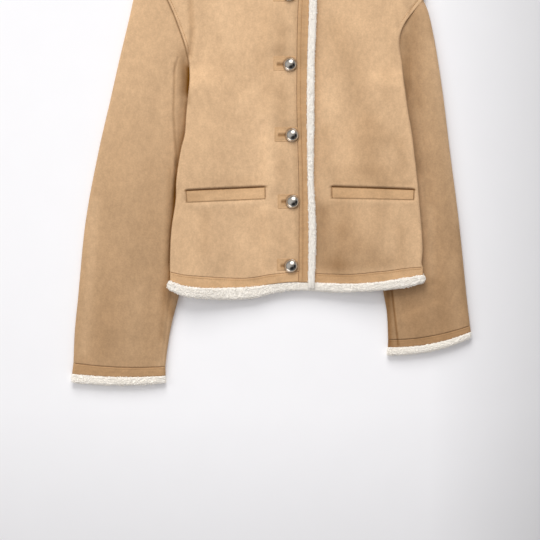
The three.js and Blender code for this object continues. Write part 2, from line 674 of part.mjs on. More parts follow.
function addSleeve({ name, outer, inner, side, cuff, armhole, armpit, mirrored }) {
  const puff = puffOf({ outer, inner, side, armpit });
  const flip = (edge) => (mirrored ? (t) => edge(1 - t) : edge);
  const hand = mirrored ? -1 : 1;
  const edges = [curve(outer), curve(inner)];
  const [left, right] = mirrored ? edges.reverse() : edges;
  add(name, flatTube({
    plan: patch({
      left, right,
      bottom: flip(bowed(cuff[0])),
      top: flip(curve(moved(armhole, hand * ARMHOLE_SEAM).reverse())),
    }),
    ...SLEEVE_GRID, high: SLEEVE_HIGH, puff,
  }), SUEDE);
  const cuffPieces = [
    { part: "cuff_band", finish: SUEDE_BAND, high: SLEEVE_HIGH, rows: 1 },
    { part: "cuff_trim", finish: SHEARLING, high: CUFF_TRIM_HIGH, rows: 2 },
  ];
  cuffPieces.forEach(({ part, finish, high, rows }, i) => {
    const top = flip(bowed(cuff[i], SEAM));
    const bottom = flip(bowed(cuff[i + 1]));
    const plan = between(bottom, top);
    add(name.replace("sleeve", part), flatTube({
      plan, across: CUFF_STEPS, along: rows, high, puff,
    }), finish);
  });
}

// What lies on a front: its underside is the front's upper face, moved out.
const onRight = (lift) => (x, y) => rightBase(x, y) + WALL + lift;
const onLeft = (lift) => (x, y) => leftBase(x, y) + WALL + lift;

// A closed post from one height to another, for a button's shank or the hole round it
function post({ x, y }, radius, low, high) {
  const geometry = new THREE.CylinderGeometry(radius, radius, high - low, BUTTON.shankSides);
  return geometry.rotateX(QUARTER).translate(x, y, (low + high) / 2);
}

const cutBy = (geometry, cutters) =>
  geometryFrom(cutters.reduce((left, c) => left.subtract(solidOf(c)), solidOf(geometry)));

const shankHole = (button) => post(button, BUTTON.shankHole, -WALL, 10 * WALL);

function slit({ x, y }) {
  const geometry = new THREE.BoxGeometry(PATCH.slitReach, PATCH.slitWide, 20 * WALL);
  return geometry.translate(x - PATCH.slitReach / 2, y, 0);
}

function buttonPatch(button) {
  const { left, right, top, bottom } = button;
  const round = PATCH.thick;
  const piece = strip({
    bottom: line([left, bottom], [right, bottom]), top: line([left, top], [right, top]),
    across: 2, rounds: [round, round, round, round], base: onRight(LYING), thick: PATCH.thick,
  });
  return cutBy(piece, [shankHole(button), slit(button)]);
}

// A domed head on a short shank that goes through the patch and the right front.
function buttonOf({ x, y }) {
  const seat = onRight(LYING + PATCH.thick + LYING)(x, y);
  const foot = onLeft(LYING)(x, y);
  const { radius, high, rim, shank, domeSteps, sides } = BUTTON;
  const dome = Array.from({ length: domeSteps + 1 }, (_, i) => {
    const angle = (QUARTER * i) / domeSteps;
    return [radius * Math.cos(angle), seat + rim + (high - rim) * Math.sin(angle)];
  });
  dome[domeSteps][0] = 0;
  const profile = [[0, foot], [shank, foot], [shank, seat], [radius - rim, seat], ...dome];
  const points = profile.map(([r, z]) => new THREE.Vector2(r, z));
  return new THREE.LatheGeometry(points, sides).rotateX(QUARTER).translate(x, y, 0);
}

function welt(corners, on) {
  const [lowLeft, lowRight, highLeft, highRight] = corners;
  return strip({
    bottom: line(lowLeft, lowRight), top: line(highLeft, highRight), across: WELT_STEPS,
    rounds: WELT_ROUNDS, base: on(LYING), thick: WELT_THICK,
  });
}

add("back", back(), SUEDE);
add("right_front", cutBy(rightFront(), BUTTONS.map(shankHole)), SUEDE);
add("left_front", leftFront(), SUEDE);
addHem();
addFrontEdge();
addNeckTrims();
addSleeve({
  name: "right_sleeve", outer: RIGHT_SLEEVE_OUTER, inner: RIGHT_SLEEVE_INNER,
  side: RIGHT_SIDE, cuff: RIGHT_CUFF, armhole: RIGHT_ARMHOLE, armpit: 97.5, mirrored: false,
});
addSleeve({
  name: "left_sleeve", outer: LEFT_SLEEVE_OUTER, inner: LEFT_SLEEVE_INNER,
  side: LEFT_SIDE, cuff: LEFT_CUFF, armhole: LEFT_ARMHOLE, armpit: 99.3, mirrored: true,
});
BUTTONS.forEach((button, i) => {
  add(`buttonhole_patch_${i + 1}`, buttonPatch(button), SUEDE_BAND);
  add(`button_${i + 1}`, buttonOf(button), SILVER);
});
add("pocket_welt_right", welt(WELTS.right, onRight), SUEDE_BAND);
add("pocket_welt_left", welt(WELTS.left, onLeft), SUEDE_BAND);

export default jacket;
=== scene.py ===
"""A short collarless suede jacket with shearling edges, buttoned and laid flat on its back.

Sizes are in millimetres until a mesh is made. X runs to the wearer's left, Y towards the neck
and Z up from the surface that the jacket lies on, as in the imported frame. Right and left are the
wearer's: the right side is on the picture's left.
"""
import math

import bpy
import numpy as np
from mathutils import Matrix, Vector


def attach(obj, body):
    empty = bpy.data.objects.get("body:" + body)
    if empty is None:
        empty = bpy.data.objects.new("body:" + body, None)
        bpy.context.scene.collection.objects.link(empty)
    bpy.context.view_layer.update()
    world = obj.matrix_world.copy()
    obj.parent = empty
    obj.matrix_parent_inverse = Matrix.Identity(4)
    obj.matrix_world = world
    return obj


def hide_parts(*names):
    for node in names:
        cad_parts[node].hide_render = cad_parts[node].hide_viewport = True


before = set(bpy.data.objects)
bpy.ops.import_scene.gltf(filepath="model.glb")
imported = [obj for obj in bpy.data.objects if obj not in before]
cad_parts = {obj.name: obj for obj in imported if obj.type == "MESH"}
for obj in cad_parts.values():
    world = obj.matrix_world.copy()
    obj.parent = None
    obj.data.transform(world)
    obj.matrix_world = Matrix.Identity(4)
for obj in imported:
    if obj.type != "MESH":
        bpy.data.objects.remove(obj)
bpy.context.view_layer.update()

bl_info = {
    "name": "Suede Jacket, Laid Flat",
    "version": (1, 0, 0),
    "blender": (4, 5, 0),
    "location": "3D View > Sidebar > Jacket",
    "description": "Dresses a flat laid suede jacket with nap, pile, stitching and metal buttons",
    "category": "Add Mesh",
}

MM = 0.001
QUARTER = math.pi / 2

# Suede bonded to pile, the space in its seams and the space between layers
WALL, SEAM, PLY = 4.5, 0.05, 0.5
# A flattened sleeve, two walls and a hollow, and how far its top layer puffs up
HOLLOW = 0.7
SLEEVE_HIGH = 2 * WALL + HOLLOW
SLEEVE_PUFF, PUFF_AT_ARMHOLE, PUFF_AT_CUFF, PUFF_FADE, CUFF_RUN = 5, 0.3, 0.25, 60, 90
HOLLOW_PRESS, TOP_LEAST = 0.8, 0.9
# The height from which the body's side covers a sleeve, and how far past the side the puff ends
COVER_FROM, COVER_RUN, COVER_SHY = -292, 40, 16
# The body's climb over a tucked sleeve: how high, how long, how far inside the sleeve's fold it
# starts, the height above which the fold is taken as straight, and its fade below the armpit
RISE, RISE_RUN, TUCK_SHY, TUCK_TOP, ARMPIT_RUN = SLEEVE_HIGH + PLY, 60, 5, 20, 38
# The underlap's edge, and the right front's climb over it
UNDERLAP_X, LAP_RUN, LAP_CLEAR = -27, 24, 6
# The fronts' slack and the height over which the hem's waves die away
SLACK, HEM_LIFT_RUN = 1.6, 110
# The share of a fold's length at full height, and its fade
FOLD_FULL, FOLD_FADE = 0.7, 0.35
# Rounding of a folded edge, a seam, a tight seam, the side seam above the armpit and a tube
FOLD_ROUND, SEAM_ROUND, TIGHT_ROUND, ARM_ROUND, TUBE_ROUND = 2.4, 1.4, 0.9, 1.0, 6.5
BACK_TRIM_HIGH, TRIM_HIGH, CUFF_TRIM_HIGH = 6.6, 7.6, 12
TRIM_PAST = {"right": 4.5, "left": 3.5, "back": 2}
BACK_HEM_SHORT, BACK_TRIM_REACH, TRIM_GAP = 3, 74, 2
NECK = {"y": 303, "half": 90, "front": 78, "back": 20, "seam": 0.9, "trim": 12, "gap": 0.03}
# The space under what lies on a panel, and the thickness of patches and welts
LYING, PATCH_THICK, WELT_THICK = 0.45, 1.5, 2.6
# A button's dome, its rolled rim, its shank and its underside, as radii, and the dome's height
DOME, RIM, SHANK, UNDERSIDE, DOME_HIGH = 9.3, 0.6, 1.9, 6, 5.2
# The heights between which the fronts have close rows of points, for the pockets
POCKET_TOP, POCKET_FOOT = -52, -122
# Tufts of pile: for each millimetre of a front's hem and of the back's, which is hidden, and in
# all on each other trim
HEM_TUFTS, BACK_TUFTS, EDGE_TUFTS, NECK_TUFTS, CUFF_TUFTS = 9, 3, 2800, 600, 1300
# A stitch: how far it arches, how deep its ends lie, the share of its pitch that it fills, the
# empty share before it, and its thickness from end to end
ARCH, SUNK, STITCH_FILL, STITCH_START = 0.28, 0.12, 0.76, 0.12
STITCH_TAPER = (0.35, 0.85, 1, 0.85, 0.35)
# How far each row of stitches lies from its edge
ARM_ROW = {"right": 4.2, "left": 5.5}
SEAM_ROW, EDGE_ROW, HEM_ROW = 5.6, 2.4, 2.9
# The armpits' heights, and the one up to which the left front's side reads as a fold
RIGHT_ARMPIT, LEFT_ARMPIT, LEFT_FOLD_TOP = 97.5, 99.3, 150

# Outlines, each a row of points in order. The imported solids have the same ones, but for a few
# millimetres at the sleeves' inner folds, the right hem trim and the right cuff
RIGHT_SIDE = [
    (-188.3, -213), (-188, -187), (-186, -150), (-179.4, -104), (-178.8, -78), (-176, -55),
    (-170.9, -26), (-166.2, -8), (-164, 21), (-161.6, 46), (-158.9, 75), (-159.9, 97.5),
]
RIGHT_ARMHOLE = [
    (-159.9, 97.5), (-165.6, 123.6), (-171.6, 141.6), (-183.8, 174.3), (-193.2, 195),
    (-209, 225), (-229.5, 258),
]
LEFT_SIDE = [
    (189.9, -206), (187.9, -202), (189.3, -180), (183.9, -104), (180.8, -70), (177, -38),
    (173.3, -7), (167.7, 25.5), (163.4, 55.5), (160.8, 75.6), (158.9, 99.3),
]
LEFT_ARMHOLE = [
    (158.9, 99.3), (155.4, 124), (157, 145), (164, 161), (176, 177), (190.4, 195),
]
LEFT_SHOULDER = [(190.4, 195), (192.6, 206), (191, 224), (184, 241)]
RIGHT_SLEEVE_OUTER = [
    (-333.6, -349.5), (-331.5, -300), (-327, -255), (-315, -135), (-295.5, -30), (-278.3, 45),
    (-264.8, 105), (-250.5, 165), (-243.8, 195), (-229.8, 258),
]
RIGHT_SLEEVE_INNER = [
    (-195.8, -354.6), (-193, -330), (-189.5, -307), (-185, -285), (-180, -266),
    (-175.5, -249), (-163, -205),
    (-151, -140), (-145, -70), (-143, -20), (-147, 22), (-153, 45), (-156, 60), (-157.5, 76),
    (-161.5, 97.2),
]
LEFT_SLEEVE_OUTER = [
    (260.8, -293.5), (256.5, -258), (243.8, -135), (230.3, -30), (221.3, 45), (215.1, 88),
    (206.4, 140), (197.1, 180), (191.9, 195.5),
]
LEFT_SLEEVE_INNER = [
    (138, -314.5), (136.1, -274), (130.5, -240), (126, -190), (125, -120), (126, -60),
    (134, -10), (147, 25), (153, 40), (156, 52), (157, 76), (160.6, 99),
]
# The seam that runs down each sleeve, from the cuff to the armpit
RIGHT_SLEEVE_SEAM = [
    (-200.5, -353.5), (-196.5, -318), (-190.5, -266), (-186, -235), (-182, -170), (-181.2, -105),
    (-180.2, -52), (-178.8, -40), (-180, -22.5), (-181.8, 0), (-183.2, 25.5), (-182.3, 52.5),
    (-181.7, 75), (-182, 87), (-176, 108),
]
LEFT_SLEEVE_SEAM = [
    (151.5, -310.5), (149.2, -293), (147.4, -274), (145.6, -255), (143.2, -240), (140, -200),
    (140, -120), (143, -40), (154, 10), (170, 60), (172, 100), (170, 120),
]
# The hem, station by station: x, the band's seam, its lower edge, the trim's lower edge, and how
# far the fronts lift off the back there
HEM = np.array([
    (-189, -213, -226.5, -240, 1.6), (-168, -217.5, -233.5, -249.2, 2.2),
    (-139, -220, -237, -252.7, 3), (-106, -222, -236.8, -254.3, 3.6),
    (-77, -222.5, -236, -253.4, 3.2), (-58, -220.5, -234.6, -251, 2.6),
    (-41, -217.4, -231.8, -246.2, 2), (-17, -214.6, -228.8, -241.8, 1.7),
    (4, -212.6, -228, -240.4, 1.6), (30, -215.3, -229.4, -241.2, 1.8),
    (60, -216.4, -230.4, -243.3, 2.8), (86, -216.5, -230.7, -242.8, 3.2),
    (120, -213.2, -228.6, -240.8, 2.6), (140, -211.2, -225.9, -239, 2),
    (166, -207.5, -221.3, -235.6, 1.7), (191, -205.5, -217.5, -229, 1.6),
])
# The front edge, station by station: y, the band's inner seam, its outer edge, the trim's edge
FRONT_EDGE = np.array([
    (225, 4.2, 20.4, 32.4), (195, 3.6, 19.7, 31.2), (150, 2, 18.6, 30), (105, 1.4, 17, 28),
    (30, 1.4, 16.2, 27.4), (-75, 4.2, 17.3, 26.4), (-117, 4.6, 18.3, 28.8),
    (-165, 4.6, 18.8, 30), (-228, 4.2, 17.9, 28),
])
# The cuffs: the band's seam, its edge and the trim's edge, each by its outer end, its inner end
# and how far it bows towards the hand
RIGHT_CUFF = [
    ((-333.6, -349.5), (-195.8, -354.6), 3.6), ((-335.8, -365.6), (-195.4, -368.4), 3.4),
    ((-336.2, -378.4), (-195.4, -379.4), 3.8),
]
LEFT_CUFF = [
    ((260.8, -293.5), (138, -314.5), 5.5), ((262, -302.6), (137.4, -325.8), 7),
    ((261.4, -312), (135.9, -337.4), 7.4),
]
# Buttons: the centre of each, and its patch by left, right, top and bottom
BUTTONS = [
    (-9.6, 202.5, -34.5, 0.6, 213, 192), (-9, 97.5, -33.9, 0.6, 109.6, 88.6),
    (-6, -8.2, -32.2, 2.6, 3.6, -18), (-5.2, -107.8, -27.4, 3, -97, -118.2),
    (-7.4, -204, -28.5, 2.6, -193.4, -210.8),
]
# Pocket welts by their lower corners and their upper ones
WELTS = {
    "right": [(-163.2, -109), (-45.8, -103.5), (-165, -92), (-46.2, -86.3)],
    "left": [(53.7, -102.5), (175.8, -105.2), (53, -86), (177, -90.5)],
}
# Soft folds of the fronts, as the solids have them: from, to, how wide and how high
FOLDS = [
    ((-158, 235), (-155, 112), 10, 3), ((-172, 150), (-158, 112), 8, 1.2),
    ((155, 130), (158, 236), 12, 4), ((-78, 52), (-44, 16), 20, 1.4),
    ((-60, 100), (-18, 118), 16, -1.2), ((-62, -10), (-22, 10), 16, -1.2),
    ((-58, -116), (-22, -98), 14, -1.1), ((44, -210), (52, -70), 14, -1.4),
    ((70, 150), (118, 60), 24, 2.4), ((-118, 120), (-96, -30), 26, 2.2),
    ((120, -60), (106, -200), 26, 1.8),
]
# Finer creases of the fronts: a drawn line, how wide and how high
FRONT_CREASES = [
    ([(-158.7, 215), (-157, 169.5), (-154.5, 152), (-155.2, 135), (-158.7, 113)], 4.4, -3.2),
    ([(-165, 142), (-161.5, 126), (-158.7, 110)], 1.8, -1.5),
    ([(-146, 200), (-145, 150), (-150, 110)], 7, 0.8),
    ([(-76, 36), (-52, 18)], 7, 0.7),
    ([(152, 205), (156, 150), (158, 125)], 4, -1.8),
    ([(54, 60), (64, 8), (78, -30)], 10, -0.9),
    ([(140, 150), (150, 60), (160, 0)], 9, 0.7),
    ([(36, -200), (38, -120), (36, -60)], 8, -0.8),
    ([(-20, 150), (-22, 60)], 9, 0.5),
    ([(-44, -20), (-44, -80), (-42, -190)], 7, 0.9),
    ([(-130, -250), (-128, -200)], 30, 4.6), ([(80, -250), (80, -210)], 32, 2.6),
]

# The closing's middle and width, and what each button does to it: how far past the button, how
# wide and how high
CLOSING_X, CLOSING_WIDE = -22, 26
BUTTON_PULLS = ((-1, 12, -2.2), (26, 14, 0.9))


def smooth(t):
    """A step from 0 to 1 with level ends."""
    t = np.clip(t, 0, 1)
    return t * t * (3 - 2 * t)


def mix(a, b, t):
    return a + (b - a) * t


def bell(t):
    """1 at 0, dying away on both sides: e to the power of minus the square."""
    return np.exp(-(t**2))


def column(xs, ys):
    """A table's column as a smooth function: a cubic between rows, whose slope at each row is
    that from the row before to the row after, and flat beyond the ends."""
    order = np.argsort(xs)
    xs, ys = np.asarray(xs, float)[order], np.asarray(ys, float)[order]
    low = np.maximum(np.arange(len(xs)) - 1, 0)
    high = np.minimum(np.arange(len(xs)) + 1, len(xs) - 1)
    slope = (ys[high] - ys[low]) / (xs[high] - xs[low])

    def at(x):
        x = np.clip(x, xs[0], xs[-1])
        i = np.clip(np.searchsorted(xs, x, side="right") - 1, 0, len(xs) - 2)
        run = xs[i + 1] - xs[i]
        t = (x - xs[i]) / run
        lean = run * (slope[i] * t * (1 - t) ** 2 - slope[i + 1] * t**2 * (1 - t))
        return mix(ys[i], ys[i + 1], 3 * t**2 - 2 * t**3) + lean

    return at


def columns(table, names):
    return {name: column(table[:, 0], table[:, k + 1]) for k, name in enumerate(names)}


HEM_AT = columns(HEM, ("seam", "edge", "trim", "lift"))
EDGE_AT = columns(FRONT_EDGE, ("seam", "edge", "trim"))


def curve(points, dense=60):
    """A smooth curve through points by the share of its length: between two points it is a cubic
    whose end slopes come from the points on both sides, spaced by the root of their distance."""
    p = np.array(points, float)
    p = np.vstack([2 * p[0] - p[1], p, 2 * p[-1] - p[-2]])
    a, b, c, d = p[:-3], p[1:-2], p[2:-1], p[3:]
    pairs = ((b, a), (c, b), (d, c))
    s0, s1, s2 = (np.sqrt(np.linalg.norm(q - r, axis=1))[:, None] for q, r in pairs)
    m1 = ((b - a) / s0 - (c - a) / (s0 + s1) + (c - b) / s1) * s1
    m2 = ((c - b) / s1 - (d - b) / (s1 + s2) + (d - c) / s2) * s1
    t = np.linspace(0, 1, dense, endpoint=False)[None, :, None]
    b, c, m1, m2 = (q[:, None] for q in (b, c, m1, m2))
    path = (2 * t**3 - 3 * t**2 + 1) * b + (t**3 - 2 * t**2 + t) * m1
    path = (path + (3 * t**2 - 2 * t**3) * c + (t**3 - t**2) * m2).reshape(-1, 2)
    path = np.vstack([path, p[-2]])
    s = lengths(path)
    s /= s[-1]
    return lambda t: np.stack([np.interp(t, s, path[:, k]) for k in (0, 1)], -1)


def lengths(path):
    """The length from a path's start to each of its points."""
    return np.concatenate([[0], np.cumsum(np.linalg.norm(np.diff(path, axis=0), axis=1))])


def offset(path, aside):
    """A path moved to its left."""
    run = np.gradient(path, axis=0)
    run /= np.linalg.norm(run, axis=1, keepdims=True)
    return path + aside * np.stack([-run[:, 1], run[:, 0]], -1)


def line(p, q):
    p, q = np.array(p, float), np.array(q, float)
    return lambda t: mix(p, q, np.asarray(t, float)[..., None])


def edge_at(points, y):
    """Where a level line at height y crosses an edge whose points rise in y."""
    p = np.array(points, float)
    return np.interp(y, p[:, 1], p[:, 0])


def sleeve_lift(x, y):
    """How far the tucked sleeves raise the body: a smooth climb across each sleeve's inner fold,
    which fades out below the armpit."""
    lift = np.zeros(np.shape(x))
    tucks = ((RIGHT_SLEEVE_INNER, 1, RIGHT_ARMPIT), (LEFT_SLEEVE_INNER, -1, LEFT_ARMPIT))
    for inner, side, armpit in tucks:
        inside = side * (x - edge_at(inner, np.minimum(y, TUCK_TOP))) - TUCK_SHY
        lift = lift + RISE * smooth((armpit - y) / ARMPIT_RUN) * smooth(1 - inside / RISE_RUN)
    return lift


def off_path(path, x, y):
    """Each point's distance from a drawn line, signed to its left, and how far it is past the
    line's ends: the nearest of the line's straight parts counts."""
    best = np.full(np.shape(x), 1e9)
    side, past = np.zeros(np.shape(x)), np.zeros(np.shape(x))
    last = len(path) - 2
    for i, ((ax, ay), (bx, by)) in enumerate(zip(path[:-1], path[1:])):
        run = math.hypot(bx - ax, by - ay)
        ux, uy = (bx - ax) / run, (by - ay) / run
        s = (x - ax) * ux + (y - ay) * uy
        off = (y - ay) * ux - (x - ax) * uy
        beyond = np.maximum(-s, s - run)
        end = np.where((s < 0) & (i == 0) | (s > run) & (i == last), beyond, 0)
        away = np.hypot(off, np.maximum(beyond, 0))
        near = away < best
        best = np.where(near, away, best)
        side = np.where(near, np.where(end > 0, off, np.sign(off) * away), side)
        past = np.where(near, end, past)
    return side, past


def creases(table, x, y):
    """The sum of soft ridges and troughs: each a bell across its drawn line, which dies away past
    the line's ends over twice its width."""
    high = np.zeros(np.shape(x))
    for path, wide, rise in table:
        off, past = off_path(path, x, y)
        high = high + rise * bell(off / wide) * bell(past / (2 * wide))
    return high


def drape(x, y):
    """How far the fronts stand off the back: the slack, the hem's waves, the soft folds, the
    finer creases, and the pull of the buttons."""
    above = (y - HEM_AT["edge"](x)) / HEM_LIFT_RUN
    high = SLACK + (HEM_AT["lift"](x) - SLACK) * smooth(1 - above)
    for (ax, ay), (bx, by), wide, rise in FOLDS:
        length = math.hypot(bx - ax, by - ay)
        along = ((x - ax) * (bx - ax) + (y - ay) * (by - ay)) / length**2
        off = ((x - ax) * (by - ay) - (y - ay) * (bx - ax)) / length
        fade = bell(np.maximum(0, abs(2 * along - 1) - FOLD_FULL) / FOLD_FADE)
        high = high + rise * fade * bell(off / wide)
    # each button draws the closing down, and between two of them it swells
    across = bell((x - CLOSING_X) / CLOSING_WIDE)
    pull = sum(
        rise * across * bell((y - button[1] - past) / wide)
        for button in BUTTONS for past, wide, rise in BUTTON_PULLS
    )
    return np.maximum(0, high + creases(FRONT_CREASES, x, y) + pull)


def left_base(x, y):
    return sleeve_lift(x, y) + WALL + PLY + drape(x, y)


def right_base(x, y):
    climb = smooth((x - UNDERLAP_X + LAP_CLEAR + LAP_RUN) / LAP_RUN)
    return left_base(x, y) + (WALL + PLY) * climb


def front_trim_base(x, y):
    return sleeve_lift(x, y) + BACK_TRIM_HIGH + PLY + np.maximum(0, drape(x, y) - SLACK)


def on_right(lift):
    return lambda x, y: right_base(x, y) + WALL + lift


def on_left(lift):
    return lambda x, y: left_base(x, y) + WALL + lift


def patch(left, right, bottom, top):
    """A plan between four edges: the blend across plus the blend up, less the blend of the
    corners."""
    def grid(us, vs):
        u, v = us[None, :, None], vs[:, None, None]
        low, high = bottom(us)[None], top(us)[None]
        near, far = left(vs)[:, None], right(vs)[:, None]
        ends = np.array([0.0, 1.0])
        (low_near, low_far), (high_near, high_far) = bottom(ends), top(ends)
        corner = mix(mix(low_near, low_far, u), mix(high_near, high_far, u), v)
        return mix(low, high, v) + mix(near, far, u) - corner

    return grid


def side_by_side(sides, bottom, tops, feet):
    """A plan in parts that share guide lines: between the guides, which stand at the feet, it is
    the blend of its four edges, and the bottom edge is shared out between the parts."""
    shares = [(x - feet[0]) / (feet[-1] - feet[0]) for x in feet]

    def grid(us, vs):
        us = np.union1d(us, shares[1:-1])
        parts = []
        for k, top in enumerate(tops):
            low, high = shares[k], shares[k + 1]
            foot = lambda t, low=low, high=high: bottom(mix(low, high, np.asarray(t, float)))
            inside = (us >= low) & ((us < high) | (high == 1))
            part = patch(sides[k], sides[k + 1], foot, top)
            parts.append(part((us[inside] - low) / (high - low), vs))
        return np.concatenate(parts, 1)

    return grid


def between(bottom, top):
    """A plan between two edges, closed by straight sides."""
    ends = [(bottom(np.array([t])), top(np.array([t]))) for t in (0.0, 1.0)]
    return patch(*(line(low[0], high[0]) for low, high in ends), bottom, top)


def stations(length, step, start=(), end=()):
    """Places along a length from 0 to 1: close ones at given distances in from each end, and even
    ones a step apart between them."""
    first = max(start, default=0)
    last = length - max(end, default=0)
    even = np.linspace(first, last, max(1, round((last - first) / step)) + 1)
    near, far = np.array(start, float), length - np.array(end, float)
    return np.unique(np.round(np.concatenate([[0], near, even, far, [length]]), 4)) / length


# How far in from an edge a grid has its close rows of points: at a rounded edge, one with a row
# of stitches, a tube's fold, a cuff strip's edge, a hem trim's end, a trim's edge and a patch's
ROUND_STEPS = (0.12, 0.4, 0.8, 1.3, 1.9, 2.6)
STITCH_STEPS = ROUND_STEPS + (3.2, 3.7, 4.2, 4.7, 5.3, 6.2)
TUBE_STEPS = ROUND_STEPS + (3.6, 4.8)
CUFF_STEPS = (0.15, 0.5, 1, 1.6, 2.3)
END_STEPS = (0.1, 0.3, 0.9, 1.8)
TRIM_STEPS = (0.3, 0.9)
PATCH_STEPS = (0.2, 0.6)


def full(gap, reach):
    """The fullness of a rounded edge: a quarter circle, 0 at the edge and 1 from its reach on."""
    return np.sqrt(1 - (1 - np.clip(gap / reach, 0, 1)) ** 2)


def side_round(armpit, run=20, start=6):
    """The rounding of a panel's side: a folded edge up to the armpit, a tight seam above it."""
    return lambda y: mix(FOLD_ROUND, ARM_ROUND, smooth((y - armpit + start) / run))


def gaps_of(grid):
    """How far each point of a grid lies from the grid's left, right, bottom and top edges."""
    edges = (grid[:, :1], grid[:, -1:], grid[:1], grid[-1:])
    return [np.linalg.norm(grid - e, axis=-1) for e in edges]


def lumps(x, y, size, seed):
    """Smooth random lumps from -1 to 1: random values at the corners of square cells, eased
    between them, in two layers turned against each other."""
    total, many = np.zeros(np.shape(x)), 256
    for turn, part in ((0.5, 0.6), (1.3, 0.4)):
        values = np.random.default_rng(seed + int(10 * turn)).uniform(-1, 1, (many, many))
        gx = (x * math.cos(turn) - y * math.sin(turn)) / size
        gy = (x * math.sin(turn) + y * math.cos(turn)) / size
        i, j = np.floor(gx).astype(int), np.floor(gy).astype(int)
        u, v = smooth(gx - i), smooth(gy - j)
        at = lambda a, b: values[(i + a) % many, (j + b) % many]
        total = total + part * mix(mix(at(0, 0), at(1, 0), u), mix(at(0, 1), at(1, 1), u), v)
    return total


def cells(index, up=True):
    """The corners of every cell of a grid of point numbers, anticlockwise from outside."""
    a, b, c, d = index[:-1, :-1], index[:-1, 1:], index[1:, 1:], index[1:, :-1]
    quads = np.stack([a, b, c, d], -1).reshape(-1, 4)
    return quads if up else quads[:, ::-1]


def merged(skins):
    """The points, quads and material numbers of grids of points, each given as (points, faces
    up, material number). Points that fall together become one."""
    points, quads, slots, start = [], [], [], 0
    for grid, up, slot in skins:
        index = start + np.arange(grid.shape[0] * grid.shape[1]).reshape(grid.shape[:2])
        points.append(grid.reshape(-1, 3))
        quads.append(cells(index, up))
        slots.append(np.full(len(quads[-1]), slot))
        start += index.size
    points, quads, slots = (np.concatenate(part) for part in (points, quads, slots))
    keys = np.round(points * 1e4).astype(np.int64)
    _, first, number = np.unique(keys, axis=0, return_index=True, return_inverse=True)
    return points[first], number.reshape(-1)[quads], slots


def new_piece(name, shape, finishes, painted_light=None, slot=None, *replaced):
    """An object from points, quads and material numbers. A quad with two equal corners becomes a
    triangle, and one with fewer corners is left out. It rides on the root in its slot, unless it
    has none."""
    points, quads, slots = shape
    same = quads == np.roll(quads, -1, axis=1)
    keep = same.sum(1) <= 1
    quads, slots, same = quads[keep], slots[keep], same[keep]
    short = same.any(1)
    # the corner that repeats the next one is left out
    pick = (same.argmax(1)[:, None] + np.array([1, 2, 3])) % 4
    triangles = np.take_along_axis(quads, pick, 1)[short]
    quads, slots = quads[~short], np.concatenate([slots[~short], slots[short]])
    sizes = np.concatenate([np.full(len(quads), 4), np.full(len(triangles), 3)])
    corners = np.concatenate([quads.ravel(), triangles.ravel()])
    mesh = bpy.data.meshes.new(name)
    mesh.vertices.add(len(points))
    mesh.vertices.foreach_set("co", (points * MM).astype(np.float32).ravel())
    mesh.loops.add(len(corners))
    mesh.loops.foreach_set("vertex_index", corners.astype(np.int32))
    mesh.polygons.add(len(sizes))
    mesh.polygons.foreach_set("loop_start", (np.cumsum(sizes) - sizes).astype(np.int32))
    mesh.polygons.foreach_set("material_index", slots.astype(np.int32))
    mesh.polygons.foreach_set("use_smooth", np.ones(len(sizes), bool))
    mesh.update(calc_edges=True)
    # each point's painted light and shade goes into the attribute named nap: below 1 painted
    # shade, above 1 a painted highlight
    if painted_light is not None:
        tone = mesh.attributes.new("nap", "FLOAT", "POINT")
        tones = painted_light(points[:, 0], points[:, 1]) if callable(painted_light) else np.full(len(points), painted_light)
        tone.data.foreach_set("value", tones.astype(np.float32))
    for kind in finishes:
        mesh.materials.append(finish_of(kind))
    piece = bpy.data.objects.new(name, mesh)
    bpy.context.scene.collection.objects.link(piece)
    if slot:
        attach(piece, "root")
    if replaced:
        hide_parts(*replaced)
    return piece


def wall_skins(grid, rounds, base, thick, mark=None, slots=(0, 1)):
    """A wall of cloth on a base: its two faces stand half a thickness off its middle, times the
    fullness of its rounded edges, and marks press into the upper face alone."""
    x, y = grid[..., 0], grid[..., 1]
    gaps = gaps_of(grid)
    fill = np.ones(x.shape)
    for gap, reach in zip(gaps, rounds):
        fill = fill * full(gap, reach(y) if callable(reach) else reach)
    low = base(x, y)
    press = mark(x, y, gaps) if mark else 0
    upper = np.stack([x, y, low + thick / 2 + fill * (thick / 2 + press)], -1)
    lower = np.stack([x, y, low + thick / 2 * (1 - fill)], -1)
    return [(upper, True, slots[0]), (lower, False, slots[1])]


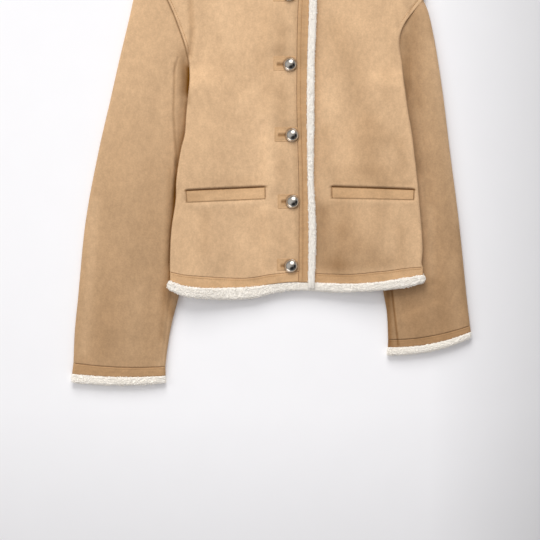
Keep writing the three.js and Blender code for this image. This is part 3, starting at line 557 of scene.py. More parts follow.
def tube_skins(grid, high, puff, mark):
    """A flattened tube: an outer pillow and an inner one, each of two faces that meet at its
    folds, joined by a ring at either end."""
    def fold_fill(plan):
        return math.prod(full(gap, TUBE_ROUND) for gap in gaps_of(plan)[:2])

    def face(plan, fullness, half, swell, press=0):
        x, y = plan[..., 0], plan[..., 1]
        z = high / 2 + fullness * (half + swell * puff(x, y) + press)
        return np.stack([x, y, z], -1)

    middle = (grid[:, :1] + grid[:, -1:]) / 2
    wide = np.linalg.norm(grid[:, -1:] - grid[:, :1], axis=-1, keepdims=True)
    inner = grid + (middle - grid) * 2 * WALL / wide
    fill, inner_fill = fold_fill(grid), fold_fill(inner)
    press = mark(grid[..., 0], grid[..., 1], gaps_of(grid))
    top, bottom = face(grid, fill, high / 2, 1, press), face(grid, fill, -high / 2, 0)
    top[..., 2] = np.maximum(top[..., 2], high / 2 + TOP_LEAST * fill)
    hollow_top = face(inner, inner_fill, HOLLOW / 2, 0.5)
    hollow_bottom = face(inner, inner_fill, -HOLLOW / 2, 0)
    lowered = hollow_top[..., 2] + inner_fill * (np.minimum(0, press) * HOLLOW_PRESS)
    hollow_top[..., 2] = np.maximum(hollow_bottom[..., 2], lowered)
    skins = [(top, True, 0), (bottom, False, 0), (hollow_top, False, 1), (hollow_bottom, True, 1)]
    for row, up in ((0, True), (-1, False)):
        skins.append((np.stack([hollow_top[row], top[row]]), up, 0))
        skins.append((np.stack([bottom[row], hollow_bottom[row]]), up, 0))
    return skins


# Materials


def linear(hex_colour):
    """An sRGB hex colour as linear red, green and blue."""
    c = np.array([int(hex_colour[i:i + 2], 16) for i in (1, 3, 5)]) / 255
    return tuple(np.where(c <= 0.04045, c / 12.92, ((c + 0.055) / 1.055) ** 2.4).tolist())


def node(tree, kind, feeds=None, out=0, **settings):
    """Adds a node with its settings and the values or sockets that feed it, and gives one of its
    outputs."""
    made = tree.nodes.new("ShaderNode" + kind)
    for name, value in settings.items():
        setattr(made, name, value)
    for socket, source in (feeds or {}).items():
        if isinstance(source, bpy.types.NodeSocket):
            tree.links.new(source, made.inputs[socket])
        else:
            made.inputs[socket].default_value = source
    return made.outputs[out]


def new_material(name, shader):
    material = bpy.data.materials.new(name)
    material.use_nodes = True
    surface = material.node_tree.nodes["Principled BSDF"]
    for socket, value in shader.items():
        surface.inputs[socket].default_value = value
    return material, material.node_tree, surface


def pattern(tree, size_mm, low, high, dark, light, detail=3, stretch=(1, 1, 1), rough=0.5):
    """A noise on Object coordinates whose lumps are about a size in millimetres, given as it is
    and as a tone: its values from low to high, spread from dark to light."""
    place = node(tree, "Mapping", {0: node(tree, "TexCoord", out="Object"), "Scale": stretch})
    raw = node(tree, "TexNoise", {
        "Vector": place, "Scale": 1 / (size_mm * MM), "Detail": detail, "Roughness": rough,
    }, "Fac")
    return raw, node(tree, "MapRange", {0: raw, 1: low, 2: high, 3: dark, 4: light})


def dress(tree, surface, colour, tones, height=None, strength=0, deep_mm=0):
    """Gives a surface its colour, scaled by each tone in turn, and its relief."""
    for tone in tones:
        colour = node(tree, "VectorMath", {0: colour, "Scale": tone}, operation="SCALE")
    tree.links.new(colour, surface.inputs["Base Color"])
    if height is not None:
        relief = {"Height": height, "Strength": strength, "Distance": deep_mm * MM}
        tree.links.new(node(tree, "Bump", relief), surface.inputs["Normal"])


def suede(name, colour, streak):
    """Suede: split hide whose fibres are buffed up into a short nap. It gives the eye a matt
    face, soft clouds where the nap lies differently, fine speckle, and a pale bloom where it
    turns away. Its colour also takes painted light and shade from the attribute named nap."""
    material, tree, surface = new_material(name, {
        "Roughness": 0.92, "Sheen Weight": 0.35, "Sheen Roughness": 0.45,
        "Sheen Tint": (*linear("#F3DDBB"), 1), "Specular IOR Level": 0.2,
    })
    # clouds 55 mm and 16 mm across, brush streaks 6 mm wide, and speckle 2.6 mm wide, coarser
    # than the real 0.2 mm fibres, so that it shows
    _, clouds = pattern(tree, 55, 0.3, 0.7, 0.95, 1.05)
    _, patches = pattern(tree, 16, 0.3, 0.7, 0.965, 1.035)
    _, streaks = pattern(tree, 6, 0.35, 0.65, 0.95, 1.05, stretch=streak)
    speckle, fine = pattern(tree, 2.6, 0.38, 0.62, 0.94, 1.06, rough=0.75)
    # painted light and shade from the attribute named nap: at 1 the lit colour, at 0.5 half of it
    # in a redder brown for painted shade, and above 1 a painted highlight
    nap = node(tree, "Attribute", out="Fac", attribute_name="nap")
    r, g, b = linear(colour)
    lit = node(tree, "Mix", {
        0: node(tree, "MapRange", {0: nap, 1: 0.5, 2: 1}, clamp=False),
        6: (r * 0.5, g * 0.435, b * 0.36, 1), 7: (r, g, b, 1),
    }, 2, data_type="RGBA", clamp_factor=False)
    dress(tree, surface, lit, (clouds, patches, streaks, fine), speckle, 0.5, 0.4)
    return material


def shearling(name, colour):
    """Shearling: fleece clipped to a dense even pile of small curls. It gives the eye a bright,
    soft, uneven edge with tiny grey hollows, whose grey is painted shade that follows the curls."""
    material, tree, surface = new_material(name, {
        "Roughness": 1.0, "Sheen Weight": 0.4, "Sheen Roughness": 0.6, "Specular IOR Level": 0.1,
    })
    curls, hollow_shade = pattern(tree, 2.2, 0.32, 0.6, 0.97, 1, 2)
    _, clumps = pattern(tree, 9, 0.3, 0.7, 0.98, 1, 2)
    # the attribute named nap holds each trim's painted light or shade
    nap = node(tree, "Attribute", out="Fac", attribute_name="nap")
    dress(tree, surface, linear(colour), (nap, clumps, hollow_shade), curls, 0.3, 0.5)
    return material


def silver(name, colour):
    """Polished plated metal: pressed, then buffed. It gives the eye a small mirror with the
    bright lights and the dark room in it, a little hazed by handling."""
    material, tree, surface = new_material(name, {
        "Metallic": 1.0, "Base Color": (*linear(colour), 1),
    })
    _, haze = pattern(tree, 3, 0.3, 0.7, 0.07, 0.16)
    tree.links.new(haze, surface.inputs["Roughness"])
    return material


def thread(name, colour):
    """Spun polyester thread: twisted plies, a little shiny along the twist, sunk into the nap."""
    material, tree, surface = new_material(name, {"Roughness": 0.6, "Specular IOR Level": 0.3})
    twist, shade = pattern(tree, 0.6, 0.3, 0.7, 0.85, 1.1, 1)
    dress(tree, surface, linear(colour), [shade], twist, 0.4, 0.1)
    return material


def board(name, colour):
    """Painted board: rolled matt emulsion, which gives the eye a pale even ground. Its colour is
    painted greyer towards the wearer's left, towards the sleeves' ends and away from the middle,
    as shade where the light falls off."""
    material, tree, surface = new_material(name, {"Roughness": 0.95, "Specular IOR Level": 0.1})
    place = node(tree, "TexCoord", out="Object")
    middle = {0: place, 1: (-0.02, -0.28, 0)}
    x, y = (node(tree, "SeparateXYZ", {0: place}, axis) for axis in "XY")
    away = node(tree, "VectorMath", middle, "Value", operation="DISTANCE")
    # painted shade where the light falls off, by the distance from the middle and along x and y
    tones = [
        node(tree, "MapRange", {0: value, 1: low, 2: high, 3: start, 4: end})
        for value, low, high, start, end in (
            (x, 0.2, 0.46, 1, 0.66), (y, -0.64, -0.42, 0.9, 1), (away, 0.16, 0.6, 1, 0.91),
        )
    ]
    _, rolled = pattern(tree, 60, 0.3, 0.7, 0.995, 1.005, 2)
    dress(tree, surface, linear(colour), (*tones, rolled))
    return material


MATERIALS = {}


def finish_of(name):
    """The material of a finish, made when it is first asked for, in the panel's colours."""
    if name not in MATERIALS:
        s = bpy.context.scene.jacket_sizes
        make, *about = {
            "panel": (suede, "camel suede, buffed nap", s.suede_colour, (1, 0.55, 1)),
            "band": (suede, "camel suede, turned strip", s.band_colour, (0.5, 1, 1)),
            "pile": (shearling, "cream shearling, clipped pile", s.pile_colour),
            "metal": (silver, "plated metal, polished", s.metal_colour),
            "thread": (thread, "polyester thread, twisted", s.thread_colour),
            "floor": (board, "painted board, matt", s.floor_colour),
        }[name]
        MATERIALS[name] = make(*about)
    return MATERIALS[name]


# Painted light and shade on each piece: 1 for the plain colour, less for painted shade in troughs,
# beside the body's edges, in the pocket mouths and under the hems, more for painted highlights,
# as strokes: a drawn line, how wide, and the tone along it
BODY_LIGHT_AND_SHADE = [
    ([(-44, 5), (-40, -60), (-46, -110)], 15, 1.13),
    ([(-92, -10), (-86, -60)], 16, 1.06),
    ([(-100, -140), (-60, -190)], 20, 1.06),
    ([(-60, 60), (-86, 30)], 10, 1.06),
    ([(-110, 185), (-106, 130)], 18, 1.09),
    ([(-44, 175), (-50, 110)], 12, 0.93),
    ([(-20, 150), (-20, 125)], 11, 0.88), ([(-18, 45), (-18, 15)], 11, 0.9),
    ([(-20, -55), (-22, -78)], 11, 0.93), ([(-18, -160), (-18, -182)], 11, 0.93),
    ([(52, 60), (50, 22)], 16, 1.1), ([(44, 0), (44, -42)], 10, 0.88),
    ([(66, -150), (64, -205)], 13, 0.8), ([(90, -178), (140, -194)], 14, 0.9),
    ([(156, -150), (158, -200)], 10, 0.88), ([(112, 12), (134, -12)], 15, 0.87),
    ([(154, -20), (160, -50)], 11, 0.87), ([(-44, 62), (-26, 60)], 11, 0.92),
    ([(0, 225), (0, 0), (2, -210)], 4, 0.88), ([(11, 225), (9, 0), (11, -225)], 7.5, 0.8),
    ([(60, 150), (84, 90), (98, 20), (104, -60)], 20, 0.87),
    ([(110, -20), (128, -80)], 22, 0.87),
    ([(70, -115), (84, -170), (76, -205)], 22, 0.78),
    ([(38, -120), (40, -205)], 12, 0.78),
    ([(50, -62), (160, -66)], 12, 0.9),
    ([(126, -120), (112, -200)], 16, 0.88),
    ([(126, 130), (132, 60)], 14, 1.04),
    ([(-159, 215), (-156, 150), (-160, 112)], 5, 0.8), ([(-163, 100), (-161, 40)], 3, 0.8),
    (RIGHT_ARMHOLE, 1.5, 0.6), (LEFT_ARMHOLE[3:], 1.4, 0.85),
    ([(182.7, 195), (173.4, 182.7), (168.9, 172.8)], 1.2, 0.78),
    ([(134, 88), (134, 50)], 10, 0.92), ([(-26, 118), (-22, 106)], 8, 0.87),
    ([(-50, 92), (-40, 84)], 9, 0.9), ([(-114, 140), (-112, 88)], 12, 0.94),
    ([(-136, -125), (-136, -180)], 10, 0.91), ([(-60, 20), (-64, -60)], 12, 1.06),
    ([(-24, 200), (-24, -60)], 11, 0.95), ([(44, -125), (52, -205)], 13, 0.86),
    ([(60, -204), (135, -200)], 9, 0.88),
    ([(-165, -91.2), (-46.2, -85.5)], 1.5, 0.3), ([(53, -85.2), (177, -89.7)], 1.5, 0.3),
    ([(-164.6, -92), (-163.6, -108)], 1.0, 0.5), ([(-46.6, -87), (-46.2, -103)], 1.0, 0.6),
    ([(53.5, -87), (54, -102)], 1.0, 0.6), ([(176.4, -91), (175.6, -104)], 1.0, 0.5),
    ([(-163, -109.2), (-46, -103.7)], 0.9, 0.75), ([(54, -102.7), (175.8, -105.4)], 0.9, 0.75),
    ([(-128, -101), (-58, -96)], 6, 1.12), ([(-162, -102), (-150, -101)], 6, 0.9),
    ([(-145, -225), (-110, -226)], 9, 1.08), ([(-58, -222), (-40, -222)], 9, 0.93),
    ([(40, -225), (130, -222)], 9, 0.93), ([(44, -200), (60, -196)], 9, 0.92),
    ([(-150, -114), (-60, -109)], 5, 1.12), ([(70, -109), (150, -110)], 5, 1.06),
    ([(-150, -80), (-60, -75)], 6, 0.95), ([(60, -77), (170, -80)], 6, 0.9),
]
RIGHT_SLEEVE_LIGHT_AND_SHADE = [
    ([(-255, 10), (-285, -110)], 26, 0.96),
    ([(-215, -60), (-225, -150)], 20, 0.95), ([(-302, -110), (-318, -330)], 10, 1.15),
    ([(-238, -240), (-246, -330)], 16, 1.08), ([(-284, -250), (-290, -330)], 16, 0.94),
    ([(-170, 112), (-164, 50), (-168, 0), (-176, -60), (-180, -110)], 9, 0.8),
    ([(-161, 92), (-162, 60)], 12, 0.52), ([(-160, 92), (-161, 50)], 4, 0.5),
    ([(-182, 100), (-182.3, 52), (-183.2, 25), (-181.8, 0), (-179, -40), (-181, -100)], 1.8, 0.8),
    ([(-178, -72), (-181, -100)], 4, 0.75), ([(-168, -10), (-174, -40)], 8, 0.85),
    ([(-163, 40), (-166, 0), (-176, -50)], 5, 0.6), (RIGHT_ARMHOLE, 1.6, 0.6),
    ([(-176, -55), (-180, -80), (-186, -150), (-189, -225)], 4.2, 0.45),
    ([(-181, -104), (-184.5, -129), (-187.5, -150), (-189.5, -200)], 1.6, 0.6),
    ([(-193, -238), (-190, -262), (-185, -276)], 8, 0.72), ([(-201, -322), (-201, -352)], 7, 1.2),
    ([(-189, -60), (-196, -220), (-204, -340)], 4, 0.86),
]
LEFT_SLEEVE_LIGHT_AND_SHADE = [
    ([(166, 105), (168, 50), (176, 0), (184, -60)], 6, 0.88),
    ([(186, -80), (189, -120), (192, -200)], 5, 1.1),
    ([(137, -225), (139, -335)], 6, 0.6),
    ([(143.5, -240), (147.4, -274), (151.5, -310), (153, -322)], 1.5, 0.55),
    (LEFT_ARMHOLE[3:], 1.5, 0.85), ([(164, 138), (164, 58)], 9, 0.84),
    ([(201, -120), (203, -215)], 7, 1.14),
    ([(176, 170), (178, 100), (182, 40)], 11, 0.84),
    ([(206, 130), (226, 0), (246, -140)], 10, 1.17),
    ([(236, -200), (244, -290)], 10, 1.08), ([(214, -230), (220, -300)], 12, 0.94),
    ([(164, -250), (190, -310)], 20, 0.92),
]


def painted_light_of(strokes, low_y, low, high_y, high):
    """Painted light and shade: an even change between two heights, which paints the light's fall
    along the piece, times each stroke's own tone, which fades out across the stroke as a bell."""
    def at(x, y):
        tone = mix(low, high, smooth((y - low_y) / (high_y - low_y)))
        for path, wide, factor in strokes:
            off, past = off_path(path, x, y)
            tone = tone * (1 + (factor - 1) * np.exp(-(off**2 + past**2) / wide**2))
        return tone

    return at


body_painted_light = painted_light_of(BODY_LIGHT_AND_SHADE, -200, 1.0, 180, 1.02)


# Panels


def hem_line(name, start, end, aside=0.0):
    def at(t):
        x = mix(start, end, np.asarray(t, float))
        return np.stack([x, HEM_AT[name](x) + aside], -1)

    return at


def edge_line(name, start, end, aside=0.0):
    def at(t):
        y = mix(start, end, np.asarray(t, float))
        return np.stack([EDGE_AT[name](y) + aside, y], -1)

    return at


def neck_arc(drop, inset, start, end):
    """Part of the half ellipse that the neckline is cut to, between two angles from straight
    down."""
    def at(t):
        angle = mix(start, end, np.asarray(t, float))
        x, y = np.sin(angle), np.cos(angle)
        return np.stack([(NECK["half"] - inset) * x, NECK["y"] - (drop - inset) * y], -1)

    return at


def neck_angle(x):
    return math.asin(x / NECK["half"])


def neck_y(x):
    return float(neck_arc(NECK["front"], 0, 0, neck_angle(x))(1.0)[1])


def front_edge_line(name, foot, aside):
    """A line up the front edge from a height to the neckline."""
    top = neck_y(float(EDGE_AT[name](BAND_TOP_Y)) + aside)
    return edge_line(name, foot, top, aside)


def outline(side, *above):
    """A panel's side from the hem's seam, through the armhole and, if given, the shoulder."""
    foot = (side[0][0], float(HEM_AT["seam"](side[0][0])))
    return curve([foot] + side[1:] + [p for part in above for p in part[1:]])


def guide(x, end):
    """A line from the hem up to a neck point, which it reaches leaning towards the neck, so that
    the plan's rows don't fold over each other there."""
    foot = (x, float(HEM_AT["seam"](x)))
    lean = (math.copysign(102, x), 265)
    return curve([foot, (x, -60), (x * 1.02, 80), (x * 1.05, 200), lean, end])


RIGHT_OUTLINE = outline(RIGHT_SIDE, RIGHT_ARMHOLE)
LEFT_OUTLINE = outline(LEFT_SIDE, LEFT_ARMHOLE, LEFT_SHOULDER)
RIGHT_NECK_END, LEFT_NECK_END = (-NECK["half"], NECK["y"]), (NECK["half"], NECK["y"])
RIGHT_SHOULDER_LINE = line(RIGHT_ARMHOLE[-1], RIGHT_NECK_END)
LEFT_SHOULDER_LINE = line(LEFT_NECK_END, LEFT_SHOULDER[-1])
RIGHT_HEM_X, LEFT_HEM_X = RIGHT_SIDE[0][0], LEFT_SIDE[0][0]
RIGHT_GUIDE_X, LEFT_GUIDE_X = -106.0, 106.0
RIGHT_GUIDE = guide(RIGHT_GUIDE_X, RIGHT_NECK_END)
LEFT_GUIDE = guide(LEFT_GUIDE_X, LEFT_NECK_END)
FOOT_Y, TOP_Y = FRONT_EDGE[-1, 0], FRONT_EDGE[0, 0]
BAND_FOOT_X = float(EDGE_AT["seam"](FOOT_Y))
BAND_FOOT_Y = float(HEM_AT["seam"](BAND_FOOT_X))
BAND_TOP_X = float(EDGE_AT["seam"](TOP_Y))
BAND_TOP_Y = neck_y(BAND_TOP_X)
TRIM_FOOT = float(HEM_AT["edge"](EDGE_AT["edge"](BAND_FOOT_Y)))


def welt_mark(corners, x, y):
    """How a pocket presses into its panel: the window that the welt lies in, the slit along the
    welt's upper edge, and the seam under its lower one, with a swell below."""
    low_left, low_right, high_left, high_right = (np.array(c, float) for c in corners)
    t = np.clip((x - low_left[0]) / (low_right[0] - low_left[0]), -0.2, 1.2)
    low = mix(low_left[1], low_right[1], t)
    high = mix(high_left[1], high_right[1], t)
    inside = smooth((x - low_left[0] + 2) / 3) * smooth((low_right[0] - x + 2) / 3)
    window = smooth((y - low - 0.8) / 1.6) * smooth((high - y + 1.2) / 1.4)
    slit, seam = bell((y - high - 1.2) / 1.7), bell((y - low + 0.5) / 0.9)
    swell = bell((y - low + 5) / 4)
    return inside * (-2.4 * window - 2.6 * slit - 0.4 * seam + 0.6 * swell)


def channel(gap, at, wide=0.8, deep=0.5):
    """The line that a row of stitches pulls down, at a distance from an edge."""
    return -deep * bell((gap - at) / wide)


def row_steps(foot, top, welt_top, welt_foot):
    """Places up a front: close together at the hem seam, across the pocket and at the neck."""
    fine = np.arange(welt_foot - foot, welt_top - foot, 0.9)
    length = top - foot
    rough = stations(length, 3.2, ROUND_STEPS, ROUND_STEPS) * length
    rough = rough[(rough < fine[0]) | (rough > fine[-1])]
    return np.unique(np.concatenate([rough, fine])) / length


def make_panel(name, plan, us, vs, rounds, base, mark, slots=(0, 1)):
    skins = wall_skins(plan(us, vs), rounds, base, WALL, mark, slots)
    shape = merged(skins)
    return new_piece(name + "_suede", shape, ("panel", "pile"), body_painted_light, "suede", name)


def make_panels():
    """The fronts and the back: walls between their outlines, the hem's seam and the neckline."""
    def right_mark(x, y, gaps):
        armhole = smooth((y - 108) / 14)
        return welt_mark(WELTS["right"], x, y) + armhole * channel(gaps[0], ARM_ROW["right"])

    def left_mark(x, y, gaps):
        armhole = smooth((y - 140) / 14)
        ridge = 0.5 * bell((gaps[1] - 4) / 2.5) * (1 - armhole)
        row = armhole * channel(gaps[1], ARM_ROW["left"])
        return welt_mark(WELTS["left"], x, y) + row + ridge

    vs = row_steps(RIGHT_SIDE[0][1], NECK["y"], POCKET_TOP, POCKET_FOOT)
    ends = (TIGHT_ROUND, FOLD_ROUND)
    plan = side_by_side(
        (RIGHT_OUTLINE, RIGHT_GUIDE, edge_line("seam", BAND_FOOT_Y, BAND_TOP_Y)),
        hem_line("seam", RIGHT_HEM_X, BAND_FOOT_X),
        (RIGHT_SHOULDER_LINE, neck_arc(NECK["front"], 0, -QUARTER, neck_angle(BAND_TOP_X))),
        (RIGHT_HEM_X, RIGHT_GUIDE_X, BAND_FOOT_X),
    )
    us = stations(195, 3, STITCH_STEPS, ROUND_STEPS)
    rounds = (side_round(RIGHT_ARMPIT), TIGHT_ROUND, *ends)
    right = make_panel("right_front", plan, us, vs, rounds, right_base, right_mark)

    underlap = line((UNDERLAP_X, HEM_AT["seam"](UNDERLAP_X)), (UNDERLAP_X, neck_y(UNDERLAP_X)))
    plan = side_by_side(
        (underlap, LEFT_GUIDE, LEFT_OUTLINE), hem_line("seam", UNDERLAP_X, LEFT_HEM_X),
        (neck_arc(NECK["front"], 0, neck_angle(UNDERLAP_X), QUARTER), LEFT_SHOULDER_LINE),
        (UNDERLAP_X, LEFT_GUIDE_X, LEFT_HEM_X),
    )
    us = stations(215, 3, ROUND_STEPS, STITCH_STEPS)
    rounds = (SEAM_ROUND, side_round(LEFT_FOLD_TOP), *ends)
    left = make_panel("left_front", plan, us, vs, rounds, left_base, left_mark)

    plan = side_by_side(
        (RIGHT_OUTLINE, RIGHT_GUIDE, LEFT_GUIDE, LEFT_OUTLINE),
        hem_line("seam", RIGHT_HEM_X, LEFT_HEM_X),
        (RIGHT_SHOULDER_LINE, neck_arc(NECK["back"], 0, -QUARTER, QUARTER), LEFT_SHOULDER_LINE),
        (RIGHT_HEM_X, RIGHT_GUIDE_X, LEFT_GUIDE_X, LEFT_HEM_X),
    )
    us, vs = (stations(length, 6, ROUND_STEPS, ROUND_STEPS) for length in (380, 500))
    rounds = (FOLD_ROUND, FOLD_ROUND, SEAM_ROUND, FOLD_ROUND)
    back = make_panel("back", plan, us, vs, rounds, sleeve_lift, None, (1, 0))
    return right, left, back


def make_allowances():
    """The seam allowances inside the side, armhole and shoulder seams: a flattened cord carried
    along each seam, as high as the space between front and back there. Its suede is painted dark
    as shade in the gaps where it shows."""
    made = []
    for side, seam, shoulder, base, inward in (
        ("right", RIGHT_OUTLINE, RIGHT_SHOULDER_LINE, right_base, -1.3),
        ("left", LEFT_OUTLINE, line(LEFT_SHOULDER[-1], LEFT_NECK_END), left_base, 1.3),
    ):
        path = [seam(np.linspace(0.004, 0.985, 190)), shoulder(np.linspace(0.05, 0.93, 50))]
        path = offset(np.vstack(path), inward)
        across = offset(path, 1) - path
        low = sleeve_lift(path[:, 0], path[:, 1]) + WALL / 2
        high = base(path[:, 0], path[:, 1]) + WALL / 2
        turn = np.linspace(0, 2 * math.pi, 17)
        turn[-1] = 0
        plan = path[:, None] + 2.1 * np.cos(turn)[None, :, None] * across[:, None]
        z = ((low + high) / 2)[:, None] + ((high - low) / 2 - 0.7)[:, None] * np.sin(turn)
        grid = np.concatenate([plan, z[..., None]], -1)
        centre = grid[:, :-1].mean(1, keepdims=True) + 0 * grid
        shape = merged([(np.concatenate([centre[:1], grid, centre[-1:]]), False, 0)])
        # 0.6: painted shade, for the cord shows only in the shaded gaps of the seams
        made.append(new_piece(f"seam_allowance_{side}", shape, ["panel"], 0.6, "suede"))
    return made


def make_band(name, skins, painted_light):
    finishes = ("band", "pile")
    return new_piece(name + "_suede", merged(skins), finishes, painted_light, "suede_band", name)


def make_bands():
    """The turned strips of suede: along the hem and down the front edge."""
    def hem_mark(x, y, gaps):
        return channel(gaps[3], HEM_ROW, 0.6, 0.4) + 0.25 * lumps(x, 3 * y, 9, 5)

    def front_mark(x, y, gaps):
        rows = channel(gaps[3], SEAM_ROW, 0.9, 0.9) + channel(gaps[2], EDGE_ROW, 0.6, 0.35)
        return rows + 0.2 * lumps(3 * x, y, 10, 8)

    made = []
    across = stations(15, 1.2, ROUND_STEPS, ROUND_STEPS)
    for side, start, end, base, short, outer in (
        ("right_front", RIGHT_HEM_X, BAND_FOOT_X, right_base, 0, (FOLD_ROUND, SEAM_ROUND)),
        ("left_front", UNDERLAP_X, LEFT_HEM_X, left_base, 0, (SEAM_ROUND, FOLD_ROUND)),
        ("back", RIGHT_HEM_X, LEFT_HEM_X, sleeve_lift, BACK_HEM_SHORT, (FOLD_ROUND, FOLD_ROUND)),
    ):
        plan = between(hem_line("edge", start, end, short), hem_line("seam", start, end, -SEAM))
        grid = plan(stations(end - start, 2.4, ROUND_STEPS, ROUND_STEPS), across)
        # the back's pile is on its upper face
        mark, slots = (None, (1, 0)) if short else (hem_mark, (0, 1))
        skins = wall_skins(grid, (*outer, TIGHT_ROUND, TIGHT_ROUND), base, WALL, mark, slots)
        made.append(make_band("hem_band_" + side, skins, body_painted_light))
    edges = front_edge_line("edge", TRIM_FOOT, 0), front_edge_line("seam", TRIM_FOOT, SEAM)
    grid = between(*edges)(stations(455, 2.4, ROUND_STEPS, ROUND_STEPS), across)
    rounds = (SEAM_ROUND, FOLD_ROUND, SEAM_ROUND, TIGHT_ROUND)
    skins = wall_skins(grid, rounds, right_base, WALL, front_mark)
    return made + [make_band("front_edge_band", skins, body_painted_light)]


def pile_mark(seed, deep=0.35):
    """Curls of a clipped pile: lumps 2.4 mm across, with larger clumps of 8 mm."""
    def mark(x, y, gaps):
        return deep * lumps(x, y, 2.4, seed) + 0.5 * deep * lumps(x, y, 8, seed + 1)

    return mark


def unit(vectors):
    return vectors / (np.linalg.norm(vectors, axis=1, keepdims=True) + 1e-9)


def round_about(centre, reach, side, other, turn):
    """Rings of points about centres, in the plane of two directions."""
    turn = turn[None, None, :, None]
    ring = side[:, None, None] * np.cos(turn) + other[:, None, None] * np.sin(turn)
    return centre[:, :, None] + reach * ring


def tufts(grid, count, length, seed):
    """Small curled tufts that stand on a skin: each is a bent cone of four sides on a random
    point of it, leaning at random off the skin's own slope."""
    rng = np.random.default_rng(seed)
    a, b = grid[:-1, :-1], grid[:-1, 1:]
    c, d = grid[1:, :-1], grid[1:, 1:]
    area = np.linalg.norm(np.cross(b - a, c - a), axis=-1).ravel()
    cell = rng.choice(len(area), count, p=area / area.sum())
    i, j = np.divmod(cell, grid.shape[1] - 1)
    s, t = rng.random((2, count, 1))
    root = mix(mix(a[i, j], b[i, j], s), mix(c[i, j], d[i, j], s), t)
    out = unit(np.cross(b[i, j] - a[i, j], c[i, j] - a[i, j]))
    lean = rng.normal(0, 0.45, (count, 3))
    lean[:, 2] *= 0.5
    tall = length * rng.uniform(0.6, 1.15, (count, 1))
    first, second = out + 0.5 * lean, 0.4 * out + 1.1 * lean
    tip = root + tall * (0.45 * first + 0.4 * second)
    centre = np.stack([root - 0.5 * out, root + 0.45 * tall * first, tip], 1)
    side = unit(np.cross(out, rng.normal(0, 1, (count, 3))))
    taper = np.array([1, 0.85, 0.45])[None, :, None, None]
    thick = rng.uniform(0.6, 0.95, (count, 1, 1, 1)) * taper
    rings = round_about(centre, thick, side, np.cross(out, side), QUARTER * np.arange(4))
    # none reaches into the floor
    rings[..., 2] = np.maximum(rings[..., 2], 0.05)
    return rings


def ring_faces(count, rings, sides=4):
    """The quads of many closed tubes of rings, whose ends are closed by one quad each."""
    base = (np.arange(count) * rings * sides)[:, None]
    k = np.arange(sides)
    quads = []
    for r in range(rings - 1):
        a, b = base + r * sides + k, base + r * sides + (k + 1) % sides
        quads.append(np.stack([a, b, b + sides, a + sides], -1).reshape(-1, 4))
    return np.concatenate(quads + [base + k[::-1], base + (rings - 1) * sides + k])


def add_pile(name, skins, spots, length, seed, tone=0.96):
    """A trim: its skins, with tufts on those that show, in cream scaled by its painted light or
    shade.
    """
    points, quads, _ = merged(skins)
    for k, (grid, count) in enumerate(spots):
        rings = tufts(grid, count, length, seed + k)
        quads = np.concatenate([quads, len(points) + ring_faces(count, rings.shape[1])])
        points = np.concatenate([points, rings.reshape(-1, 3)])
    shape = points, quads, np.zeros(len(quads))
    return new_piece(name + "_pile", shape, ["pile"], tone, "shearling", name)


def make_trims(length):
    """The shearling edges: along the hem, down the front edge and round the neckline."""
    made = []
    right, left = RIGHT_HEM_X, LEFT_HEM_X
    corner = float(EDGE_AT["trim"](FOOT_Y))
    across = stations(14, 0.9, TRIM_STEPS, TRIM_STEPS)
    for k, (side, start, end, base, high, short, ends, dense) in enumerate((
        ("right_front", right - TRIM_PAST["right"], corner, front_trim_base, TRIM_HIGH, 0,
         (8, 0.5), HEM_TUFTS),
        ("left_front", corner + SEAM, left + TRIM_PAST["left"], front_trim_base, TRIM_HIGH, 0,
         (0.5, 8), HEM_TUFTS),
        ("back", right - TRIM_PAST["back"], left + TRIM_PAST["back"], sleeve_lift,
         BACK_TRIM_HIGH, BACK_HEM_SHORT, (8, 8), BACK_TUFTS),
    )):
        low = ragged(hem_line("trim", start, end, short), 0.6, 31 + k)
        plan = between(low, hem_line("edge", start, end, short - SEAM))
        grid = plan(stations(end - start, 1.1, END_STEPS, END_STEPS), across)
        grid = rounded_ends(grid, [5.5 if reach > 1 else 0 for reach in ends])
        skins = wall_skins(grid, (*ends, 4, 1.5), base, high, pile_mark(40 + k), (0, 0))
        count = int((end - start) * dense)
        spots = [(skins[0][0], count), (skins[1][0][:8, ::-1], count // 5)]
        made.append(add_pile("hem_trim_" + side, skins, spots, length, 60 + 5 * k))
    low = ragged(front_edge_line("trim", TRIM_FOOT - 9, 0), 0.35, 36, 0)
    plan = between(low, front_edge_line("edge", TRIM_FOOT - 9, SEAM))
    narrow = stations(11, 0.9, TRIM_STEPS, TRIM_STEPS)
    grid = plan(stations(450, 1.1, TRIM_STEPS, TRIM_STEPS), narrow)
    mark = pile_mark(47, 0.4)
    skins = wall_skins(grid, (12, 4, 2.5, 4), right_base, TRIM_HIGH, mark, (0, 0))
    spots = [(skins[0][0], EDGE_TUFTS)]
    # 0.93: painted shade on the front edge's trim, which lies highest and flattest to the light
    made.append(add_pile("front_edge_trim", skins, spots, length * 0.8, 80, 0.93))
    outer = float(EDGE_AT["trim"](TOP_Y))
    gap, back = NECK["gap"], neck_angle(BACK_TRIM_REACH)
    for k, (side, drop, start, end, base, high) in enumerate((
        ("right_front", NECK["front"], gap - QUARTER, neck_angle(outer), right_base, TRIM_HIGH),
        ("left_front", NECK["front"], neck_angle(outer + TRIM_GAP), QUARTER - gap, left_base,
         TRIM_HIGH),
        ("back", NECK["back"], -back, back, sleeve_lift, BACK_TRIM_HIGH),
    )):
        plan = between(*(neck_arc(drop, NECK[edge], start, end) for edge in ("seam", "trim")))
        grid = plan(stations(130, 1.3, TRIM_STEPS, TRIM_STEPS), narrow)
        skins = wall_skins(grid, (5, 5, 5, 6), base, high, pile_mark(50 + k), (0, 0))
        spots = [(skins[0][0], NECK_TUFTS)]
        made.append(add_pile("neck_trim_" + side, skins, spots, length, 90 + 5 * k))
    return made


